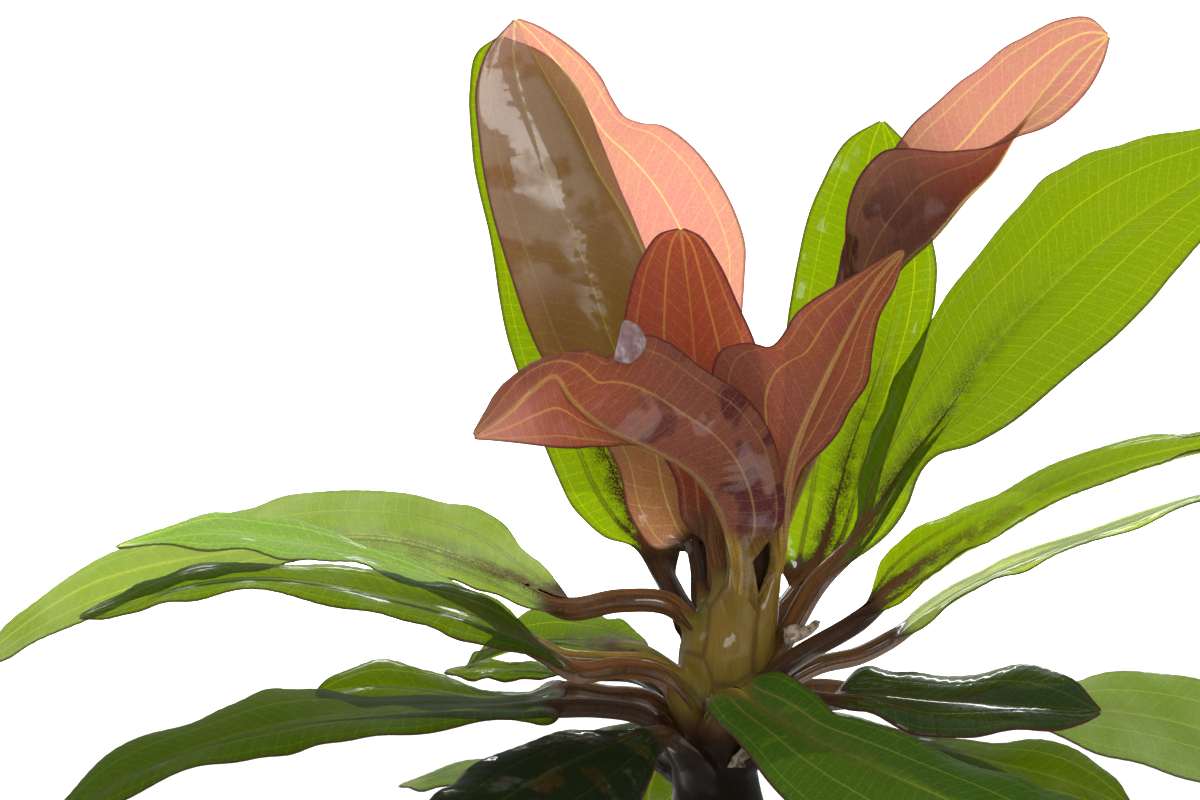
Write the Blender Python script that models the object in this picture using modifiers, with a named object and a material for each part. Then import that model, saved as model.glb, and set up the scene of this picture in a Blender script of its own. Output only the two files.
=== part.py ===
"""A red-leaved sword plant, lifted out of its ground with the crown cut flat.

The crown is a short thick stem. Each leaf is one piece: a petiole that clasps the crown, and the blade
that it carries. Lengths in the leaf list are millimetres, and the model is in metres, with +Z up, the
origin in the middle of the crown's cut face, and -Y towards the viewer.
"""

import math
from dataclasses import dataclass

import bmesh
import bpy
import numpy as np

MM = 0.001

# Where the leaves were measured from: a point level with the middle of the plant, far in front of it.
VIEW_ACROSS = -30.0
VIEW_UP = 115.0
VIEW_DISTANCE = 1000.0

# The crown, from its cut face up: height, sideways lean and radius.
CROWN_RINGS = (
    (0, 0, 12.5),
    (8, 0, 13.2),
    (20, -1, 11.8),
    (32, -1, 10.2),
    (43, -0.5, 10.4),
    (52, 0.5, 11.6),
    (59, 1.5, 11.8),
    (65, 3, 10.6),
    (70, 4, 8.4),
    (73.5, 4.5, 5.0),
)
CROWN_SIDES = 20
CLEARANCE = 0.8

# A leaf's section, in millimetres.
SHEATH_LENGTH = 15.0
SHEATH_WIDENING = 2.2
SHEATH_THICKNESS = 2.6
NECK_THICKNESS = 3.6
TIP_THICKNESS = 1.0
MARGIN_THICKNESS = 0.9
RIB_HALF_WIDTH = 2.4
TIP_HALF_WIDTH = 0.9

COLUMNS = 6


def seen(*points):
    """Points measured in the upright plane through the crown, carried along the line of sight to their depth."""
    placed = []
    for across, up, depth in points:
        reach = 1 + depth / VIEW_DISTANCE
        placed.append(
            (VIEW_ACROSS + (across - VIEW_ACROSS) * reach, depth, VIEW_UP + (up - VIEW_UP) * reach)
        )
    return tuple(placed)


@dataclass(frozen=True)
class Leaf:
    """One leaf: its rib from the crown to the tip, and its left and right margins from the blade's start to
    the tip. The blade starts at the rib's point number start. Each half bulges by cup, left then right."""

    name: str
    azimuth: float
    start: int
    rib: tuple
    left: tuple
    right: tuple
    cup: tuple = (1.5, 1.5)
    waves: tuple = (0.7, 4, 0.0)
    neck: float = 2.5
    stations: int = 12
    colour: str = "green"


LEAVES = (
    Leaf(
        "leaf_red_tall", 100, 1,
        rib=seen((-1.5, 60, 6), (-5, 77.5, 9), (-7.5, 95, 13), (-11, 115, 17), (-14.5, 135, 20),
                 (-18.8, 151, 22), (-23.8, 161, 23), (-30, 171, 24), (-36.5, 184, 24), (-44, 197, 23),
                 (-51, 210, 20)),
        left=seen((-15, 78.8, 6), (-20, 85, 7), (-24.5, 98.8, 10), (-30, 107.5, 12), (-37.5, 116, 14),
                  (-45, 127.5, 16), (-52.5, 147.5, 18), (-57.5, 165, 18), (-60, 180, 18),
                  (-60.5, 194, 18), (-57.5, 202.5, 18)),
        right=seen((-2, 82.5, 7), (1.2, 97.5, 9), (3.8, 115, 12), (4.5, 132.5, 14), (5.5, 145.5, 14),
                   (5.8, 153.8, 14), (3.8, 161, 14), (-1.2, 171, 15), (-7.5, 178.8, 16), (-15, 183.8, 18),
                   (-20, 184, 22), (-23.8, 185.5, 24), (-27, 190, 22), (-30, 195.5, 19), (-36, 202, 17),
                   (-45, 208, 17)),
        waves=(0.4, 3, 0.5), stations=18, colour="red",
    ),
    Leaf(
        "leaf_green_tall", 110, 1,
        rib=seen((-5, 54, 7), (-13.8, 70.5, 17), (-23.8, 90, 25), (-31.2, 107.5, 31), (-37.5, 127.5, 35),
                 (-42.5, 147.5, 38), (-47.5, 167.5, 39), (-51.8, 187.5, 39), (-55, 205.5, 37)),
        left=seen((-20, 78.8, 20), (-27.5, 81, 22), (-35, 87.5, 25), (-42.5, 102.5, 28), (-51.2, 125, 31),
                  (-57.5, 155, 33), (-61.5, 177.5, 34), (-62.2, 192.5, 35), (-60, 202, 36)),
        right=seen((-10, 85, 24), (-11, 105, 29), (-12, 125, 32), (-17.5, 148.8, 33), (-25, 167.5, 34),
                   (-30, 180, 34), (-36, 192.5, 34), (-43.8, 201, 35)),
    ),
    Leaf(
        "leaf_red_centre", 95, 1,
        rib=seen((2.5, 64, 1), (-1, 80, 2), (-3.8, 102.5, 5), (-5.8, 120, 6.5), (-7.5, 140, 5.5),
                 (-8.8, 150, 3), (-9.8, 157.5, 0)),
        left=seen((-7.2, 85, 1), (-9.6, 94, 1), (-14, 102.5, 0), (-21, 117.5, 0), (-24, 129, 0), (-22.8, 140, 0),
                  (-19, 151, 0), (-14.5, 156.3, 0)),
        right=seen((3.0, 86, 0), (8.8, 102.5, -1), (10.5, 117.5, -1), (8.8, 129, -1), (3.8, 140, 0),
                   (-1.2, 150, 0), (-5.5, 155.8, 0)),
        waves=(0.3, 3, 0), colour="red",
    ),
    Leaf(
        "leaf_red_front", -130, 1,
        rib=seen((5, 60, -6), (5, 75, -9.5), (-5, 95.5, -20), (-17.5, 103, -31), (-30, 108.8, -41),
                 (-37.5, 115.5, -47), (-41.8, 121, -50), (-46.2, 118, -53), (-53.8, 111, -55),
                 (-61.5, 106, -56)),
        left=seen((8.5, 79, -10.5), (13.2, 84, -11), (14.6, 92.5, -11), (13, 103, -13), (5.4, 115.7, -17),
                  (-3.7, 122.5, -22), (-14, 129.8, -27), (-19.5, 131.2, -31), (-24.5, 129.5, -35),
                  (-29, 125.3, -39), (-33, 127.4, -42), (-37.5, 127.2, -44), (-41, 125.8, -46),
                  (-47.2, 123.8, -47), (-54.2, 119, -49), (-58.8, 111.2, -53)),
        right=seen((2, 85, -5), (-5, 97.5, -6), (-13.8, 104, -13), (-23.8, 103.5, -27), (-33.8, 103, -38),
                   (-42.2, 103.5, -46), (-51.5, 104.8, -52)),
        cup=(-3, 1), waves=(0.3, 3, 0), stations=18, colour="red",
    ),
    Leaf(
        "leaf_red_right", -40, 1,
        rib=seen((10.5, 59, -4), (14.5, 75, -4.5), (18.8, 102.5, -8), (25, 117.5, -11),
                 (32.5, 132.5, -13), (40, 146, -13), (45.8, 152.5, -12)),
        left=seen((17.5, 90, -3), (20, 97.5, -1), (26.2, 103.2, 0), (32.5, 112, 0), (37, 120, -1),
                  (38, 127.5, -3), (39.5, 135, -6), (43.2, 143, -9)),
        right=seen((11.2, 90, -3), (7.5, 102.5, -4), (1.2, 113.8, -5.5), (-1.8, 121, -7),
                   (0.5, 127.5, -8), (6.2, 129, -9), (12, 128.2, -11), (20, 137.5, -12), (30, 143.8, -12),
                   (40, 149.5, -12)),
        waves=(0.3, 3, 0), colour="red",
    ),
    Leaf(
        "leaf_red_twisted", 20, 2,
        rib=seen((10, 58, 4), (14, 80, 8), (23.8, 105, 11), (32.5, 125, 13), (40, 142.5, 14),
                 (46.2, 149.5, 14.5), (53.2, 155.5, 15), (61.8, 165.5, 15), (68.3, 171.8, 14),
                 (74, 181, 12), (82, 193, 12), (91.2, 203, 13), (97, 206, 14)),
        left=seen((23.8, 115, 15), (26.2, 130, 18), (28.8, 143.8, 20), (32.5, 157.5, 21), (38, 170, 22),
                  (44.5, 178.8, 22), (48.8, 184.5, 21), (53.8, 189.2, 20), (62.5, 196.2, 19),
                  (75, 205, 18), (85, 209.5, 17), (92.5, 210, 16)),
        right=seen((28.8, 107.5, 6), (32.5, 127.5, 5), (31.2, 142.5, 4), (30.8, 155, 4), (32, 163.8, 4),
                   (35.5, 172, 4), (41.2, 177.5, 4), (47.5, 178.2, 4), (57.8, 176.8, 4), (68.5, 178.5, 3),
                   (78.5, 182.2, 3), (84.8, 185.5, 4), (91.2, 192, 7), (95.5, 200, 10)),
        waves=(0.2, 3, 0), stations=18, colour="red",
    ),
    Leaf(
        "leaf_green_behind", 75, 1,
        rib=seen((7, 54, 8), (20, 67.5, 18), (25, 77.5, 24), (32.5, 102.5, 33), (38.8, 120, 37),
                 (43.8, 140, 40), (45, 155, 40), (43.2, 170, 39), (40.5, 184.5, 36)),
        left=seen((16.2, 75, 19), (15.5, 95, 25), (16.5, 117.5, 30), (17.5, 137.5, 33), (20, 152.5, 34),
                  (25, 167.5, 35), (32.5, 180, 36)),
        right=seen((32.5, 77, 25), (37, 87.5, 30), (41.2, 102.5, 33), (48.8, 122.5, 36), (53, 137.5, 37),
                   (54.2, 147.5, 37), (51.2, 161.2, 37), (46.2, 178.8, 36)),
    ),
    Leaf(
        "leaf_green_broad", 20, 2,
        rib=seen((8.5, 45, 0.5), (15, 53.5, -1), (25, 70, -3), (35, 80, -2), (46.2, 96.2, 2),
                 (57.5, 112, 5), (70, 130, 9), (82.5, 142.5, 12), (95, 153.8, 14), (107.5, 163, 15),
                 (120, 171, 15), (132.5, 180, 14), (142.5, 188, 12)),
        left=seen((35.5, 84.5, 2), (36.2, 97.5, 7), (40, 110, 12), (45, 122.5, 16), (52.5, 132.5, 20),
                  (57.5, 142.5, 23), (67.5, 155, 26), (85, 172.5, 29), (102.5, 180, 29), (120, 182.5, 26),
                  (132.5, 187, 21)),
        right=seen((42, 83, -6), (46.5, 88.8, -7), (51.2, 98.2, -6), (65, 105, -5), (80, 115, -4),
                   (95, 127.5, -2), (107.5, 140, 0), (120, 153.8, 3), (130, 165, 6), (138.8, 177.5, 9)),
        cup=(2.5, 2.5), neck=3.2,
    ),
    Leaf(
        "leaf_right_level", -10, 2,
        rib=seen((4, 39, -8.5), (19, 50.5, -11), (35, 60, -11), (45, 68.8, -13), (57.5, 77, -15),
                 (70, 85, -17), (85, 93.8, -20), (102.5, 100, -23), (120, 104, -26), (137.5, 108.5, -29),
                 (150, 110.5, -31)),
        left=seen((37.5, 67, -7), (42.5, 77, -4), (52.5, 85, -2), (70, 91.2, -1), (85, 99.8, -3),
                  (100, 104.2, -6), (120, 106.8, -13), (135, 110, -21)),
        right=seen((42.5, 63.5, -17), (55, 72.5, -23), (70, 82.2, -28), (85, 89.8, -32),
                   (102.5, 97.2, -36), (120, 102, -36), (135, 107, -34)),
    ),
    Leaf(
        "leaf_right_edge_on", 10, 3,
        rib=seen((7, 38, 2), (25, 48.8, 6), (35, 51.2, 9), (42.5, 55, 11), (55, 64, 15), (70, 72, 18),
                 (95, 81.3, 22), (120, 90, 24), (142.5, 95, 25)),
        left=seen((48.8, 60.5, 22), (57.5, 67.4, 28), (70, 73.8, 33), (85, 79.3, 36), (102.5, 84.6, 38),
                  (120, 90.2, 37), (132.5, 93, 32)),
        right=seen((46.2, 56.4, 6), (56.2, 63, 3), (70, 70.2, 2), (85, 76.4, 3), (102.5, 82.4, 6),
                   (120, 89.2, 10), (132.5, 92, 16)),
    ),
    Leaf(
        "leaf_right_dark", -35, 2,
        rib=seen((7, 32, -5.5), (13, 41, -11.5), (26.2, 39.5, -26), (40, 40, -35), (55, 39.2, -43),
                 (70, 38.8, -50), (83.8, 38, -56), (95, 37, -60)),
        left=seen((31.2, 44.5, -20), (36.2, 48, -19), (45, 47.2, -24), (57.5, 45.5, -29), (70, 48, -35),
                  (80, 48.2, -42), (88.8, 44, -51)),
        right=seen((32.5, 38, -34), (40, 35.5, -42), (52.5, 30.5, -52), (70, 31.8, -63),
                   (82.5, 32.8, -66), (91.2, 34.5, -64)),
    ),
    Leaf(
        "leaf_right_far", 15, 3,
        rib=seen((6, 34, 6), (20, 42.5, 14), (40, 41.2, 22), (60, 40, 28), (85, 37, 33),
                 (102.5, 36.2, 35), (120, 32.5, 35), (137.5, 25, 33), (150, 17.5, 31)),
        left=seen((67.5, 42.5, 36), (80, 42.5, 42), (95, 46.2, 48), (107.5, 47, 50), (120, 45, 50),
                  (135, 36.2, 45), (145, 26.2, 38)),
        right=seen((70, 36.2, 22), (85, 30.5, 20), (95, 26.5, 19), (107.5, 23, 19), (120, 19.5, 20),
                   (135, 15, 23), (145, 13.5, 27)),
    ),
    Leaf(
        "leaf_right_low", -12, 2,
        rib=seen((2, 22, -4), (20, 28.8, -8), (35, 28.8, -14), (52.5, 27.5, -20), (70, 23.8, -25),
                 (85, 20, -28), (95, 16.2, -29), (103.8, 12, -29)),
        left=seen((40, 31.2, -7), (52.5, 31.2, -6), (66.2, 28.8, -8), (77.5, 30, -12), (88.8, 27.5, -17),
                  (97.5, 21.2, -23)),
        right=seen((42.5, 23.8, -24), (55, 17.5, -33), (70, 12.5, -39), (85, 10, -40), (97.5, 9.5, -35)),
    ),
    Leaf(
        "leaf_front", -50, 1,
        rib=seen((-1.5, 32, -9.5), (3.8, 41, -20), (11.2, 36.2, -32), (20, 31.2, -45), (37.5, 23.2, -66),
                 (57.5, 14.5, -85), (77.5, 4, -101), (92, -5.4, -111), (103, -13.1, -118)),
        left=seen((5.5, 44.8, -18), (12.5, 46.8, -26), (20, 43.8, -34), (27.5, 37.5, -44),
                  (40, 33.5, -58), (57.5, 26.2, -70), (77.5, 18.8, -86), (97.5, 11, -100),
                  (106, -2, -112)),
        right=seen((-1.2, 40, -24), (0.5, 35, -34), (5, 29.5, -46), (12.5, 20, -62), (20, 12, -76),
                   (35, 1, -92), (55, -8, -106), (78, -13, -115)),
    ),
    Leaf(
        "leaf_left_far", 170, 3,
        rib=seen((-4, 55, 0), (-12.5, 63.8, -2), (-25, 64.8, -3), (-38, 62.8, -1), (-51, 69.2, 3),
                 (-64, 75, 8), (-82, 80, 13), (-108, 79.5, 20), (-124.5, 76.5, 23), (-141.8, 73.5, 26),
                 (-157, 69, 28), (-170, 61.5, 30), (-180, 54, 31), (-186, 49, 31)),
        left=seen((-45, 63, -6), (-55, 65.5, 0), (-67.5, 70, 6), (-81.8, 74, 10), (-97.5, 75, 13),
                  (-115, 73, 15), (-130, 70, 16), (-145, 65.5, 18), (-159.5, 60.2, 20),
                  (-166.5, 56.8, 22), (-173.8, 53, 25), (-180, 50, 28)),
        right=seen((-43.8, 72.5, 6), (-50, 78.8, 12), (-57.5, 86.2, 19), (-67.5, 88.8, 26),
                   (-75, 91.2, 30), (-84.5, 92.5, 34), (-94.5, 92.5, 38), (-110, 90, 42),
                   (-125.8, 86, 44), (-140, 80.8, 45), (-151.2, 76.5, 44), (-165, 69.2, 41),
                   (-176.2, 60.5, 36)),
    ),
    Leaf(
        "leaf_left_middle", 183, 5,
        rib=seen((-7, 43, -4), (-17.5, 48.8, -6), (-30, 49.5, -8), (-40, 50.5, -9), (-48, 54.5, -9),
                 (-58.2, 62.6, -8), (-72.5, 69, -7), (-84.2, 73.5, -6), (-95, 77.2, -6), (-110, 80, -5),
                 (-125.8, 82, -5), (-140, 80, -5), (-151, 78.2, -5)),
        left=seen((-62.5, 64.5, -14), (-75, 68, -20), (-84.2, 72, -22), (-95, 74, -23), (-110, 75.8, -23),
                  (-122.5, 77, -20), (-134, 78.5, -14)),
        right=seen((-62.5, 67.5, -4), (-72.5, 72.5, -1), (-84.2, 77.2, 1), (-97, 81.5, 3),
                   (-106.8, 84.8, 5), (-119.5, 85.8, 6), (-129, 85.5, 5), (-141.8, 82.2, 1)),
    ),
    Leaf(
        "leaf_left_near", 195, 3,
        rib=seen((-8, 36, -8), (-15, 46, -13), (-25, 48, -19), (-36.2, 47, -25), (-43.8, 51.2, -29),
                 (-55, 57, -34), (-67.5, 62, -38), (-80, 65, -40), (-95, 68.2, -42), (-112.5, 70.2, -44),
                 (-130, 68.8, -45), (-145, 65, -46), (-160, 60.8, -46)),
        left=seen((-41.2, 48, -34), (-50, 51.2, -43), (-62.5, 54.8, -50), (-80, 59.5, -56),
                  (-92.5, 63, -58), (-105, 65.5, -59), (-117.5, 66.8, -59), (-135, 65, -57),
                  (-152.5, 60.5, -51)),
        right=seen((-42, 52.5, -25), (-46.5, 57, -25.5), (-52, 62, -26), (-60.4, 66.5, -26.5),
                   (-72.5, 69.8, -27), (-84.2, 72, -28),
                   (-105, 73.5, -29), (-119.5, 74, -30), (-130, 73, -31), (-142.5, 70, -35),
                   (-152.5, 65, -41)),
    ),
    Leaf(
        "leaf_back_left_broad", 120, 1,
        rib=seen((-5, 42, 7), (-20, 52, 18), (-30, 53.8, 32), (-40, 54.5, 50), (-50, 53, 68),
                 (-58.8, 50, 82), (-63, 48, 90)),
        left=seen((-29, 50.5, 24), (-40, 52, 38), (-50, 52.5, 50), (-57.5, 52.5, 64), (-61.2, 51.5, 77)),
        right=seen((-20, 55, 30), (-25, 59.5, 42), (-32.5, 62, 56), (-40, 63.5, 70), (-48.8, 61.2, 82),
                   (-56.2, 56.2, 89)),
    ),
    Leaf(
        "leaf_left_wavy", 172, 3,
        rib=seen((-8, 32, -3), (-17.5, 40, 0), (-27.5, 41.2, 4), (-37.5, 42.5, 8), (-47.5, 40, 11),
                 (-60, 40.5, 14), (-72.5, 42.5, 16), (-85, 43.5, 18), (-95, 42.5, 19), (-101, 41.5, 20)),
        left=seen((-40, 40, 0), (-50, 37, -2), (-62.5, 37, -1), (-75, 38, 1), (-87.5, 38.8, 6),
                  (-96.2, 40, 13)),
        right=seen((-41.2, 44.5, 10), (-47.5, 42, 15), (-56.2, 41.5, 20), (-65, 44, 24), (-75, 48, 27),
                   (-85, 49.2, 28), (-93.8, 47.5, 26), (-98.8, 44.2, 22)),
    ),
    Leaf(
        "leaf_left_small", 160, 2,
        rib=seen((-7, 37, 5), (-20, 46, 13), (-32.5, 47, 21), (-45, 47.6, 30), (-57.5, 47.8, 36),
                 (-68.8, 47.2, 40)),
        left=seen((-43, 45.3, 23), (-55, 44.8, 27), (-64, 45.4, 34)),
        right=seen((-42.5, 48.6, 33), (-52.5, 49.4, 40), (-62, 49, 43)),
    ),
    Leaf(
        "leaf_left_drooping", 188, 3,
        rib=seen((-11, 28, -3.5), (-20, 36.2, -8), (-30, 38, -12), (-40, 38, -15), (-55, 37, -18),
                 (-72.5, 37, -21), (-87.5, 36.2, -23), (-105, 34.5, -25), (-122.5, 30.5, -27),
                 (-137.5, 25.5, -28), (-152.5, 18.8, -29), (-162.5, 11.2, -30), (-168.8, 3.6, -30),
                 (-172.5, -2.9, -30)),
        left=seen((-42.5, 34.5, -24), (-62.5, 34.2, -34), (-80, 31.2, -40), (-105, 27.5, -44),
                  (-130, 22.5, -46), (-145, 17.5, -46), (-157.5, 11.5, -43), (-166.2, 3.8, -38)),
        right=seen((-45, 40.5, -9), (-60, 40, -5), (-75, 40, -3), (-87.5, 41.2, -2), (-100, 42.5, -3),
                   (-117.5, 40.8, -5), (-130, 35.5, -7), (-142.5, 31.2, -9), (-156.2, 23, -13),
                   (-165, 14.2, -19), (-170, 5, -25)),
    ),
    Leaf(
        "leaf_front_left_dark", -140, 1,
        rib=seen((-6.5, 24, -10.5), (-14, 31.2, -22), (-25, 28.8, -36), (-37.5, 23.8, -50),
                 (-50, 17.5, -64), (-62.5, 8.8, -78), (-72.5, -1.2, -90), (-78.8, -11.2, -97)),
        left=seen((-17.5, 23.8, -34), (-20, 15, -50), (-25, 7.5, -64), (-35, 0, -78), (-47.5, -6.2, -90),
                  (-62.5, -11.2, -98)),
        right=seen((-25, 32, -26), (-40, 31.2, -36), (-50, 28.8, -44), (-62.5, 22.5, -56),
                   (-71.2, 16.2, -68), (-77.5, 7.5, -80), (-80, -2.5, -90)),
    ),
    Leaf(
        "leaf_left_lowest", 150, 2,
        rib=seen((-8.5, 21, 3.5), (-19, 25.5, 17), (-32, 25.5, 30), (-50, 24, 42), (-66, 21.5, 53),
                 (-80, 18.8, 62)),
        left=seen((-48, 21, 30), (-64, 18.5, 38), (-76, 17.5, 50)),
        right=seen((-45, 26, 54), (-60, 24.5, 66), (-72, 21.5, 68)),
    ),
    Leaf(
        "leaf_back", 100, 1,
        rib=seen((-4.5, 17, 8), (-7, 29, 24), (-10, 34, 42), (-13, 33, 62), (-15, 28, 82), (-17, 20, 100),
                 (-18, 14.7, 114), (-18, 12.9, 120)),
        left=seen((-20, 32, 40), (-30, 32, 58), (-34, 27, 80), (-32, 20, 100), (-26, 15, 114)),
        right=seen((2, 31, 40), (6, 31, 60), (6, 27, 82), (2, 19, 104), (-8, 14, 116)),
    ),
    Leaf(
        "leaf_back_right", 55, 1,
        rib=seen((3.5, 23, 6), (9, 31, 23), (18, 34, 42), (32, 34, 62), (48, 30, 82), (64, 23, 100),
                 (78, 14.7, 114), (83, 12.75, 118)),
        left=seen((6, 33, 40), (14, 36, 60), (28, 36, 82), (44, 31, 100), (62, 22, 114), (76, 15, 120)),
        right=seen((17, 31, 30), (34, 31, 46), (52, 28, 62), (68, 22, 80), (79, 16, 98)),
    ),
)


def smooth_through(knots, values, at):
    """A smooth curve through the values at the knots, read at every place in at."""
    knots, values = np.asarray(knots, float), np.asarray(values, float)
    if values.ndim == 1:
        values = values[:, None]
    if len(values) == 1:
        return np.repeat(values, len(at), axis=0)
    spans = np.diff(knots)[:, None]
    slopes = np.diff(values, axis=0) / spans
    middle = (slopes[:-1] * spans[1:] + slopes[1:] * spans[:-1]) / (spans[1:] + spans[:-1])
    tangents = np.vstack([slopes[:1], middle, slopes[-1:]])
    span = np.clip(np.searchsorted(knots, at, side="right") - 1, 0, len(knots) - 2)
    step = spans[span]
    x = ((at - knots[span]) / step[:, 0])[:, None]
    return (
        (1 + 2 * x) * (1 - x) ** 2 * values[span]
        + x * (1 - x) ** 2 * step * tangents[span]
        + x**2 * (3 - 2 * x) * values[span + 1]
        - x**2 * (1 - x) * step * tangents[span + 1]
    )


def unit(vectors):
    return vectors / np.linalg.norm(vectors, axis=-1, keepdims=True)


def ease(x):
    x = np.clip(x, 0, 1)
    return x * x * (3 - 2 * x)


def run_of(points):
    """The share of a line's length at which each of its points lies, and that length."""
    run = np.concatenate([[0], np.cumsum(np.linalg.norm(np.diff(points, axis=0), axis=1))])
    return run / run[-1], run[-1]


def rib_of(leaf, along):
    """The rib's points and its direction, and how far the blade has come from its start to the tip."""
    rib = np.array(leaf.rib, float)
    knots, length = run_of(rib)
    step = 1e-3
    ahead = smooth_through(knots, rib, np.minimum(along + step, 1))
    behind = smooth_through(knots, rib, np.maximum(along - step, 0))
    share = (along - knots[leaf.start]) / (1 - knots[leaf.start])
    return smooth_through(knots, rib, along), unit(ahead - behind), np.clip(share, 0, 1), length


def half_of(leaf, side, along):
    """The step from the rib to one margin."""
    rib = np.array(leaf.rib, float)
    centre, _, share, length = rib_of(leaf, along)
    listed = leaf.left if side < 0 else leaf.right
    margin = np.array([leaf.rib[leaf.start], *listed, leaf.rib[-1]], float)
    knots, _ = run_of(margin)
    spread = smooth_through(knots, margin, share) - np.where(share[:, None] > 0, centre, rib[leaf.start])
    inner = np.clip(share, 0.02, 0.97)
    start = run_of(rib)[0][leaf.start]
    inner_centre, tangent, _, _ = rib_of(leaf, start + inner * (1 - start))
    way = unit(smooth_through(knots, margin, inner) - inner_centre)
    azimuth = math.radians(leaf.azimuth)
    level = side * np.array([math.sin(azimuth), -math.cos(azimuth), 0.0])
    level = unit(level - tangent * (tangent @ level)[:, None])
    stalk = leaf.neck + SHEATH_WIDENING * (1 - ease(along * length / SHEATH_LENGTH))
    return spread + level * (stalk * (1 - share) ** 3)[:, None] + way * (TIP_HALF_WIDTH * share**4)[:, None]


def leaf_points(leaf, along, across):
    """Points of the leaf's middle sheet, in millimetres. along runs from 0 at the crown to 1 at the tip,
    and across from -1 at the left margin to 1 at the right."""
    centre, tangent, share, _ = rib_of(leaf, along)
    out = np.abs(across)
    is_left = (across < 0)[:, None]
    half = np.where(is_left, half_of(leaf, -1, along), half_of(leaf, 1, along))
    width = np.linalg.norm(half, axis=1)
    upper = unit(np.cross(half, tangent) * np.where(is_left, -1, 1))
    cup = np.where(across < 0, leaf.cup[0], leaf.cup[1])
    height, count, phase = leaf.waves
    room = ease(width / 12)
    wave = np.sin(2 * math.pi * count * share + phase + 2.1 * np.sign(across))
    lift = (4 * cup * out * (1 - out) + height * out**2 * wave) * room * ease(4 * (1 - share))
    return centre + half * out[:, None] + upper * lift[:, None]


def thickness(leaf, along, across):
    """The leaf's thickness: full along the petiole and the rib, thin at the margins."""
    _, _, share, length = rib_of(leaf, along)
    half = np.where((across < 0)[:, None], half_of(leaf, -1, along), half_of(leaf, 1, along))
    lateral = np.abs(across) * np.linalg.norm(half, axis=1)
    stalk = SHEATH_THICKNESS + (NECK_THICKNESS - SHEATH_THICKNESS) * ease(along * length / SHEATH_LENGTH)
    ridge = TIP_THICKNESS + (stalk - TIP_THICKNESS) * (1 - share) ** 1.5
    return MARGIN_THICKNESS + (ridge - MARGIN_THICKNESS) * np.exp(-((lateral / RIB_HALF_WIDTH) ** 2))


def room_from_crown(points):
    """How far points lie outside the crown's skin, measured square to its side; less than 0 is inside."""
    heights, leans, radii = np.array(CROWN_RINGS, float).T
    out = np.hypot(points[:, 0] - np.interp(points[:, 2], heights, leans), points[:, 1])
    place = np.stack([out, points[:, 2]], axis=1)
    ends = np.append(np.stack([radii, heights], axis=1), [[0, heights[-1]]], axis=0)
    nearest = np.full(len(points), np.inf)
    for low, high in zip(ends[:-1], ends[1:]):
        span = high - low
        share = np.clip((place - low) @ span / (span @ span), 0, 1)[:, None]
        nearest = np.minimum(nearest, np.linalg.norm(place - low - share * span, axis=1))
    inside = (out < np.interp(points[:, 2], heights, radii)) & (points[:, 2] < heights[-1])
    return np.where(inside, -nearest, nearest)


def first_clear(leaf, across):
    """The place along the leaf from which it stays clear of the crown."""
    places = np.linspace(0, 0.5, 401)
    points = leaf_points(leaf, places, np.full(len(places), across))
    needed = CLEARANCE + thickness(leaf, places, np.full(len(places), across)) / 2
    inside = np.flatnonzero(room_from_crown(points) < needed)
    return places[inside.max() + 1] if len(inside) else 0.0


def clear_the_scene():
    for obj in list(bpy.data.objects):
        bpy.data.objects.remove(obj, do_unlink=True)


def collection_named(name):
    made = bpy.data.collections.new(name)
    bpy.context.scene.collection.children.link(made)
    return made


def material_named(name, colour, roughness):
    made = bpy.data.materials.new(name)
    made.use_nodes = True
    shader = made.node_tree.nodes["Principled BSDF"]
    shader.inputs["Base Color"].default_value = (*colour, 1)
    shader.inputs["Roughness"].default_value = roughness
    shader.inputs["Metallic"].default_value = 0.0
    return made


def crown_object(collection):
    """The crown as a tube that swells and leans, with both ends closed."""
    curve = bpy.data.curves.new("crown", "CURVE")
    curve.dimensions = "3D"
    curve.bevel_depth = MM
    curve.bevel_resolution = CROWN_SIDES // 4 - 1
    curve.use_fill_caps = True
    path = curve.splines.new("POLY")
    path.points.add(len(CROWN_RINGS) - 1)
    for point, (height, lean, radius) in zip(path.points, CROWN_RINGS):
        point.co = (lean * MM, 0, height * MM, 1)
        point.radius = radius
    tube = bpy.data.objects.new("crown_tube", curve)
    collection.objects.link(tube)
    graph = bpy.context.evaluated_depsgraph_get()
    mesh = bpy.data.meshes.new_from_object(tube.evaluated_get(graph))
    bpy.data.objects.remove(tube, do_unlink=True)
    bm = bmesh.new()
    bm.from_mesh(mesh)
    bmesh.ops.remove_doubles(bm, verts=bm.verts, dist=0.01 * MM)
    bmesh.ops.recalc_face_normals(bm, faces=bm.faces)
    lowest = min(vert.co.z for vert in bm.verts)
    for vert in bm.verts:
        vert.co.z -= lowest
    bm.to_mesh(mesh)
    bm.free()
    mesh.shade_smooth()
    obj = bpy.data.objects.new("crown", mesh)
    collection.objects.link(obj)
    return obj


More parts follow.
